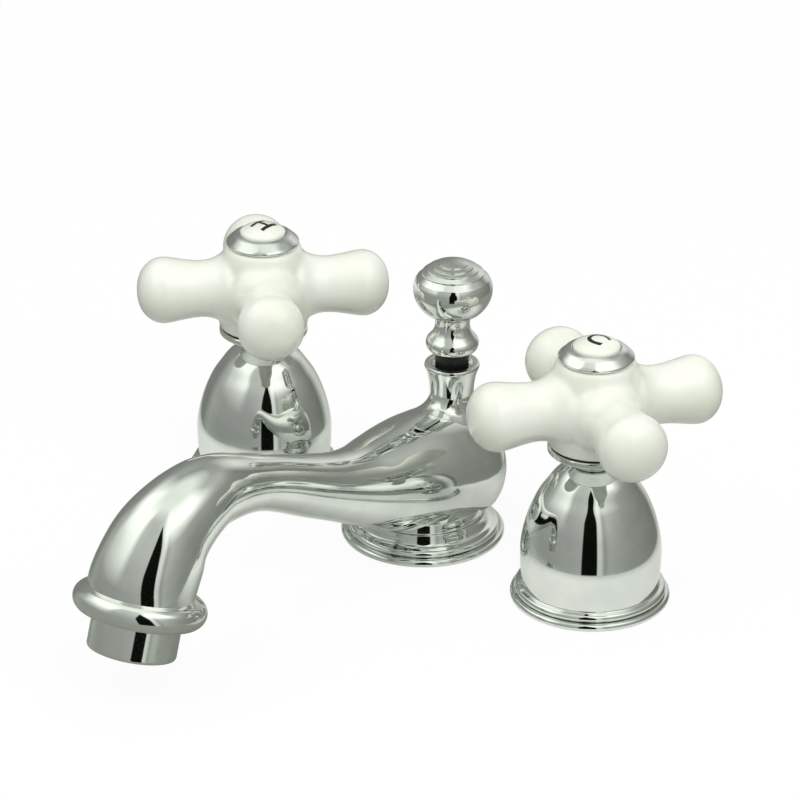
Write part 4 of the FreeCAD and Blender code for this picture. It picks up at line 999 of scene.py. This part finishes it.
@dataclass(frozen=True)
class Floor:
    """The white board that the faucet stands on, which mirrors the tent's flats at a low angle.

    Attributes:
        size: Half of its width.
        white: Its colour to the camera.
        own_light: The share of that white that doesn't depend on light and shade.
        board: The colour of the light that it throws back.
        painted_light_table: Its colour as the chrome mirrors it from steeply above near the valves: painted
            light.
        painted_shade_table: The same away from the two valves: painted shade.
        table_light: The share of those two that doesn't depend on light and shade.
        painted_light_radii: Where the painted light starts to fade into painted shade and where it ends,
            from the valve.
        sheen_angle: The angle in degrees below which it mirrors the flats instead.
        sheen_soft: How gradual that is.
        sheen: The colour of that mirror image.
        sheen_rough: Its roughness.
    """

    size: float = 6000.0
    white: str = "#fbfcfa"
    own_light: float = 0.93
    board: str = "#9fa19c"
    # Painted light near the valves and painted shade away from them, as the chrome mirrors the board.
    painted_light_table: str = "#f2f5f0"
    painted_shade_table: str = "#979b93"
    table_light: float = 0.2
    painted_light_radii: tuple[float, float] = (46.0, 90.0)
    sheen_angle: float = 19.0
    sheen_soft: float = 0.02
    sheen: str = "#fafcf9"
    sheen_rough: float = 0.03

    def build(self) -> None:
        """Lay the board."""
        mesh = bmesh.new()
        bmesh.ops.create_grid(mesh, x_segments=1, y_segments=1, size=self.size * MM)
        floor = put_in_scene("deck_floor", mesh_data("deck_floor", mesh))
        material = bpy.data.materials.new("white_board")
        tree = bare_tree(material)
        add = partial(add_node, tree)
        path = add("ShaderNodeLightPath")
        lit = add("ShaderNodeBsdfDiffuse", {"Color": linear(self.white)})
        bright = add("ShaderNodeEmission", {"Color": linear(WHITE), "Strength": 1.0})
        seen = add("ShaderNodeMixShader", {0: self.own_light, 1: lit, 2: bright})
        matte = add("ShaderNodeBsdfDiffuse", {"Color": linear(self.board)})
        plain = add("ShaderNodeMixShader", {0: path.outputs["Is Camera Ray"], 1: matte, 2: seen})
        mirrored = self.add_mirrored(tree)
        mixed = add("ShaderNodeMixShader", {0: path.outputs["Is Glossy Ray"], 1: plain, 2: mirrored})
        add("ShaderNodeOutputMaterial", {"Surface": mixed})
        floor.data.materials.append(material)

    def add_mirrored(self, tree: NodeTree) -> Node:
        """Add what the chrome sees in the board: painted light near the valves, painted shade away from
        them, and the flats at a low angle.

        Args:
            tree: The board's node tree.

        Returns:
            The node with the mixed shader.
        """
        add = partial(add_node, tree)
        place = add("ShaderNodeTexCoord").outputs["Object"]
        folded = add("ShaderNodeVectorMath", {0: place}, operation="ABSOLUTE")
        # Painted light and shade: the mirrored board is bright near each valve and grey away from them.
        valve = (VALVE_OUT * MM, 0.0, 0.0)
        apart = add("ShaderNodeVectorMath", {0: folded, 1: valve}, operation="DISTANCE").outputs["Value"]
        near, far = (radius * MM for radius in self.painted_light_radii)
        painted_shade_share = add("ShaderNodeMapRange", {"Value": apart, "From Min": near, "From Max": far})
        painted_light_table = add("ShaderNodeMix", {
            SHARE: painted_shade_share, LOWER: linear(self.painted_light_table), UPPER: linear(self.painted_shade_table)}, data_type="RGBA")
        shaded = add("ShaderNodeBsdfDiffuse", {"Color": painted_light_table.outputs[MIXED]})
        glow = add("ShaderNodeEmission", {"Color": painted_light_table.outputs[MIXED], "Strength": 1.0})
        steep = add("ShaderNodeMixShader", {0: self.table_light, 1: shaded, 2: glow})
        sheen = add("ShaderNodeBsdfGlossy", {"Color": linear(self.sheen), "Roughness": self.sheen_rough})
        facing = add("ShaderNodeLayerWeight", {"Blend": 0.5}).outputs["Facing"]
        grazing = 1.0 - math.sin(math.radians(self.sheen_angle))
        low = add("ShaderNodeMapRange", {
            "Value": facing, "From Min": grazing - self.sheen_soft, "From Max": grazing + self.sheen_soft})
        return add("ShaderNodeMixShader", {0: low, 1: steep, 2: sheen})


@dataclass(frozen=True)
class Tent:
    """The light tent that only the chrome mirrors, with its flats, its lit panel and its slit.

    Bearings are degrees to the right of the camera, heights are degrees above the horizon, and an
    edge is where a change starts and where it ends.

    Attributes:
        azimuth: The camera's direction, in degrees from the front.
        middle: Height of the tent's middle over the deck, in mm.
        radius: From its middle to its cloth, in mm.
        gain: How bright the cloth is near the horizon and high up.
        gain_edge: The heights between which that changes.
        flats: The colours met on the way round, from behind over the left, the front and the right.
        tops: The same above the flats.
        tops_edge: The heights between which they take over.
        roof: The colour overhead.
        roof_edge: The heights between which it takes over.
        panel: The colour of the lit panel on the left.
        panel_bearings: Where it starts and where it ends.
        panel_soft: How far its sides fade.
        panel_edge: The heights between which it appears.
        slit: The colour of the gap between the front flats, which the camera looks through.
        slit_half: Half its width.
        slit_bearing: Its middle.
        slit_edge: The heights where it starts to narrow and where it ends.
        slit_taper: The power that rounds its point.
        slit_soft: How far its sides fade.
        slit_closed: Its half width past its point, in radians.
        facets: How many the tent has around and from top to bottom.
    """

    azimuth: float
    middle: float
    radius: float = 470.0
    gain: tuple[float, float] = (0.97, 1.455)
    gain_edge: tuple[float, float] = (5.0, 45.0)
    flats: Stops = (
        (-180, "#868a85"), (-128, "#868a85"), (-112, "#a9ada8"), (-88, "#9ca09b"), (-30, "#a3a7a2"),
        (-12, "#acb0aa"), (11, "#acb0aa"), (13, "#d8dcd6"), (18, "#d8dcd6"), (23, "#9fa39d"),
        (30, "#b4b8b1"), (62, "#9a9e98"), (128, "#7c807a"), (146, "#d6d9d3"), (158, "#d6d9d3"),
        (180, "#868a85"))
    tops: Stops = (
        (-180, "#868a85"), (-152, "#949892"), (-122, "#f2f6ee"), (-60, "#f2f6ee"), (-48, "#b2b7b0"),
        (-30, "#a9aea7"), (-6, "#afb4ac"), (4, "#bec3bb"), (15, "#f6faf2"), (68, "#f6faf2"),
        (92, "#a9ada7"), (130, "#949892"), (180, "#868a85"))
    tops_edge: tuple[float, float] = (28.0, 47.0)
    roof: str = "#d8ddd5"
    roof_edge: tuple[float, float] = (60.0, 76.0)
    panel: str = "#f0f5ec"
    panel_bearings: tuple[float, float] = (-98.0, -56.0)
    panel_soft: float = 12.0
    panel_edge: tuple[float, float] = (8.0, 40.4)
    slit: str = "#0c0e0a"
    slit_half: float = 11.2
    slit_bearing: float = 1.4
    slit_edge: tuple[float, float] = (22.0, 56.0)
    slit_taper: float = 0.75
    slit_soft: float = 0.8
    slit_closed: float = -0.01
    facets: tuple[int, int] = (96, 48)

    def build(self) -> None:
        """Put the tent up and hide it from all but the mirrors."""
        mesh = bmesh.new()
        around, upright = self.facets
        bmesh.ops.create_uvsphere(mesh, u_segments=around, v_segments=upright, radius=self.radius * MM)
        tent = put_in_scene("light_tent", mesh_data("light_tent", mesh))
        tent.location = (0.0, 0.0, self.middle * MM)
        tent.data.materials.append(self.cloth())
        for ray in ("camera", "diffuse", "shadow", "transmission", "volume_scatter"):
            setattr(tent, f"visible_{ray}", False)

    def cloth(self) -> Material:
        """Make the glowing cloth from the bearing and the height of each of its points.

        Returns:
            The material.
        """
        material = bpy.data.materials.new("tent_cloth")
        tree = bare_tree(material)
        add = partial(add_node, tree)
        place = add("ShaderNodeTexCoord").outputs["Object"]
        where = add("ShaderNodeVectorMath", {0: place}, operation="NORMALIZE")
        turned_back = add("ShaderNodeVectorRotate", {
            "Vector": where, "Axis": (0.0, 0.0, 1.0), "Angle": math.radians(-self.azimuth)})
        parts = add("ShaderNodeSeparateXYZ", {0: turned_back})
        ahead = add("ShaderNodeMath", {0: parts.outputs["Y"], 1: -1.0}, operation="MULTIPLY")
        bearing = add("ShaderNodeMath", {0: parts.outputs["X"], 1: ahead}, operation="ARCTAN2")
        climb = add("ShaderNodeMath", {0: parts.outputs["Z"]}, operation="ARCSINE")
        around = add("ShaderNodeMapRange", {"Value": bearing, "From Min": -math.pi, "From Max": math.pi})
        flats, tops = (add("ShaderNodeValToRGB", {"Fac": around}) for _ in range(2))
        set_stops(flats, self.flats, -180, 180)
        set_stops(tops, self.tops, -180, 180)
        left, right = self.panel_bearings
        walls = self.add_layer(tree, flats, tops, (climb, *self.tops_edge))
        walls = self.add_layer(tree, walls, linear(self.panel), (bearing, left - self.panel_soft, left),
                               (bearing, right + self.panel_soft, right), (climb, *self.panel_edge))
        walls = self.add_layer(tree, walls, linear(self.roof), (climb, *self.roof_edge))
        depth = self.add_slit(tree, bearing, climb)
        walls = self.add_layer(tree, walls, linear(self.slit), (depth, -self.slit_soft, self.slit_soft))
        start, end = (math.radians(angle) for angle in self.gain_edge)
        strength = add("ShaderNodeMapRange", {
            "Value": climb, "From Min": start, "From Max": end,
            "To Min": self.gain[0], "To Max": self.gain[1]})
        glow = add("ShaderNodeEmission", {"Color": walls, "Strength": strength})
        add("ShaderNodeOutputMaterial", {"Surface": glow})
        return material

    def add_layer(self, tree: NodeTree, below: Any, above: Any, *edges: tuple[Node, float, float]) -> Any:
        """Lay a colour over another where some angles are past their edges.

        Args:
            tree: The cloth's node tree.
            below: The colour so far or its source.
            above: The new colour or its source.
            edges: An angle in radians, and where in degrees the new colour starts and is full.

        Returns:
            The socket of the mixed colour.
        """
        share: Any = 1.0
        for angle, start, full in edges:
            past = add_node(tree, "ShaderNodeMapRange", {
                "Value": angle, "From Min": math.radians(start), "From Max": math.radians(full)})
            share = add_node(tree, "ShaderNodeMath", {0: share, 1: past}, operation="MULTIPLY")
        colours = {SHARE: share, LOWER: below, UPPER: above}
        return add_node(tree, "ShaderNodeMix", colours, data_type="RGBA").outputs[MIXED]

    def add_slit(self, tree: NodeTree, bearing: Node, climb: Node) -> Node:
        """Measure how far inside the gap between the front flats a point is.

        Args:
            tree: The cloth's node tree.
            bearing: The bearing, in radians.
            climb: The height, in radians.

        Returns:
            The node with the angle from the gap's side, which is above 0 inside.
        """
        add = partial(add_node, tree)
        low, high = (math.radians(angle) for angle in self.slit_edge)
        left = add("ShaderNodeMapRange", {
            "Value": climb, "From Min": low, "From Max": high, "To Min": 1.0, "To Max": 0.0})
        rounded = add("ShaderNodeMath", {0: left, 1: self.slit_taper}, operation="POWER")
        reach = add("ShaderNodeMapRange", {
            "Value": rounded, "To Min": self.slit_closed, "To Max": math.radians(self.slit_half)})
        middle = math.radians(self.slit_bearing)
        aside = add("ShaderNodeMath", {0: bearing, 1: middle}, operation="SUBTRACT")
        apart = add("ShaderNodeMath", {0: aside}, operation="ABSOLUTE")
        return add("ShaderNodeMath", {0: reach, 1: apart}, operation="SUBTRACT")


@dataclass(frozen=True)
class Studio:
    """The camera, the light, the floor and the tent.

    Attributes:
        azimuth: The camera's direction, in degrees from the front.
        elevation: Its height above the horizon, in degrees.
        roll: Its turn about the line of sight, in degrees.
        distance: From the point looked at.
        target: The point looked at.
        lens: The camera's focal length.
        sensor: Width of its sensor.
        clip: The nearest and farthest that it sees.
        sky: Strength of the soft light from all around.
        sky_stops: Its colours from straight down to straight up, brightest overhead.
        lamps: Name, direction, height in degrees, watts and width of each soft lamp.
        lamp_distance: From the faucet to each lamp.
    """

    azimuth: float = 39.1
    elevation: float = 26.0
    roll: float = 0.37
    distance: float = 1250.0
    target: tuple[float, float, float] = (-20.7, 14.66, 30.0)
    lens: float = 192.7
    sensor: float = 36.0
    clip: tuple[float, float] = (50.0, 50000.0)
    sky: float = 0.84
    sky_stops: Stops = ((-90, "#8f918d"), (0, "#c6c8c3"), (35, "#e6e7e3"), (70, "#fbfcf9"), (90, "#fbfcf9"))
    lamps: tuple[tuple[str, float, float, float, float], ...] = (
        ("key", 72.0, 48.0, 6.0, 900.0), ("fill", -12.0, 55.0, 3.9, 900.0))
    lamp_distance: float = 1400.0

    def build(self) -> None:
        """Set the stage."""
        self.set_camera()
        Floor().build()
        self.light_world()
        Tent(self.azimuth, self.target[2]).build()
        self.hang_lamps()
        bpy.context.scene.view_settings.view_transform = "Standard"

    def looking(self, target: Vector, azimuth: float, elevation: float, distance: float) -> Matrix:
        """Work out the place of a camera or lamp that looks at a point.

        Args:
            target: The point.
            azimuth: The direction to look from, in degrees from the front.
            elevation: Its height above the horizon, in degrees.
            distance: From the point.

        Returns:
            The place and turn.
        """
        a, e = math.radians(azimuth), math.radians(elevation)
        back = Vector((math.sin(a) * math.cos(e), -math.cos(a) * math.cos(e), math.sin(e)))
        right = Vector((math.cos(a), math.sin(a), 0.0))
        turn = Matrix((right, back.cross(right), back)).transposed().to_4x4()
        return Matrix.Translation(target * MM + back * distance * MM) @ turn

    def set_camera(self) -> None:
        """Put the camera where the photograph was taken from."""
        data = bpy.data.cameras.new("viewpoint")
        data.lens = self.lens
        data.sensor_width = self.sensor
        data.clip_start, data.clip_end = (reach * MM for reach in self.clip)
        camera = put_in_scene("viewpoint", data)
        place = self.looking(Vector(self.target), self.azimuth, self.elevation, self.distance)
        camera.matrix_world = place @ Matrix.Rotation(math.radians(self.roll), 4, "Z")
        bpy.context.scene.camera = camera

    def light_world(self) -> None:
        """Surround the faucet with the soft light and the camera with the plain white background."""
        world = bpy.data.worlds.new("studio")
        bpy.context.scene.world = world
        add = partial(add_node, bare_tree(world))
        path = add("ShaderNodeLightPath")
        parts = add("ShaderNodeSeparateXYZ", {0: add("ShaderNodeTexCoord").outputs["Generated"]})
        climb = add("ShaderNodeMath", {0: parts.outputs["Z"]}, operation="ARCSINE")
        height = add("ShaderNodeMapRange", {
            "Value": climb, "From Min": -math.pi / 2, "From Max": math.pi / 2})
        dome = add("ShaderNodeValToRGB", {"Fac": height})
        set_stops(dome, self.sky_stops, -90, 90)
        soft = add("ShaderNodeBackground", {"Color": dome, "Strength": self.sky})
        white = add("ShaderNodeBackground", {"Color": linear(WHITE), "Strength": 1.0})
        final = add("ShaderNodeMixShader", {0: path.outputs["Is Camera Ray"], 1: soft, 2: white})
        add("ShaderNodeOutputWorld", {"Surface": final})

    def hang_lamps(self) -> None:
        """Hang two large soft lamps that shape the porcelain."""
        for name, azimuth, elevation, power, size in self.lamps:
            data = bpy.data.lights.new(name, "AREA")
            data.shape = "DISK"
            data.size = size * MM
            data.energy = power
            lamp = put_in_scene(name, data)
            lamp.matrix_world = self.looking(Vector(), azimuth, elevation, self.lamp_distance)
            lamp.visible_glossy = False


# Finishes of the CAD nodes that stay as they are

NODE_FINISHES = {finish.slot: finish
                 for finish in (CHROME, BRASS, RUBBER, STEEL, ALUMINA, PORCELAIN, ACETAL)}


def dress_nodes(frame: dict[str, Any]) -> None:
    """Give every CAD node the finish of its slot.
    """
    for row in frame["record"]["subparts"]:
        piece = frame["nodes"][row["node"]]
        piece.data.materials.clear()
        piece.data.materials.append(NODE_FINISHES[Slot(row["material_slot"])].build())
    log.info("dressed %d CAD nodes", len(frame["nodes"]))


def main() -> None:
    """Build the faucet in order and set the stage."""
    logging.basicConfig(level=logging.INFO, format="%(name)s: %(message)s")
    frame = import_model()
    dress_nodes(frame)
    for side in (Side("hot", -VALVE_OUT, 45.3, "H", Body.HOT_HANDLE),
                 Side("cold", VALVE_OUT, 57.4, "C", Body.COLD_HANDLE)):
        Bell(side).build()
        Hub(side).build()
        Cross(side).build()
        Index(side).build()
    SwanSpout().build()
    Flange().build()
    Aerator().build()
    LiftKnob().build()
    Studio().build()


if __name__ == "__main__":
    main()
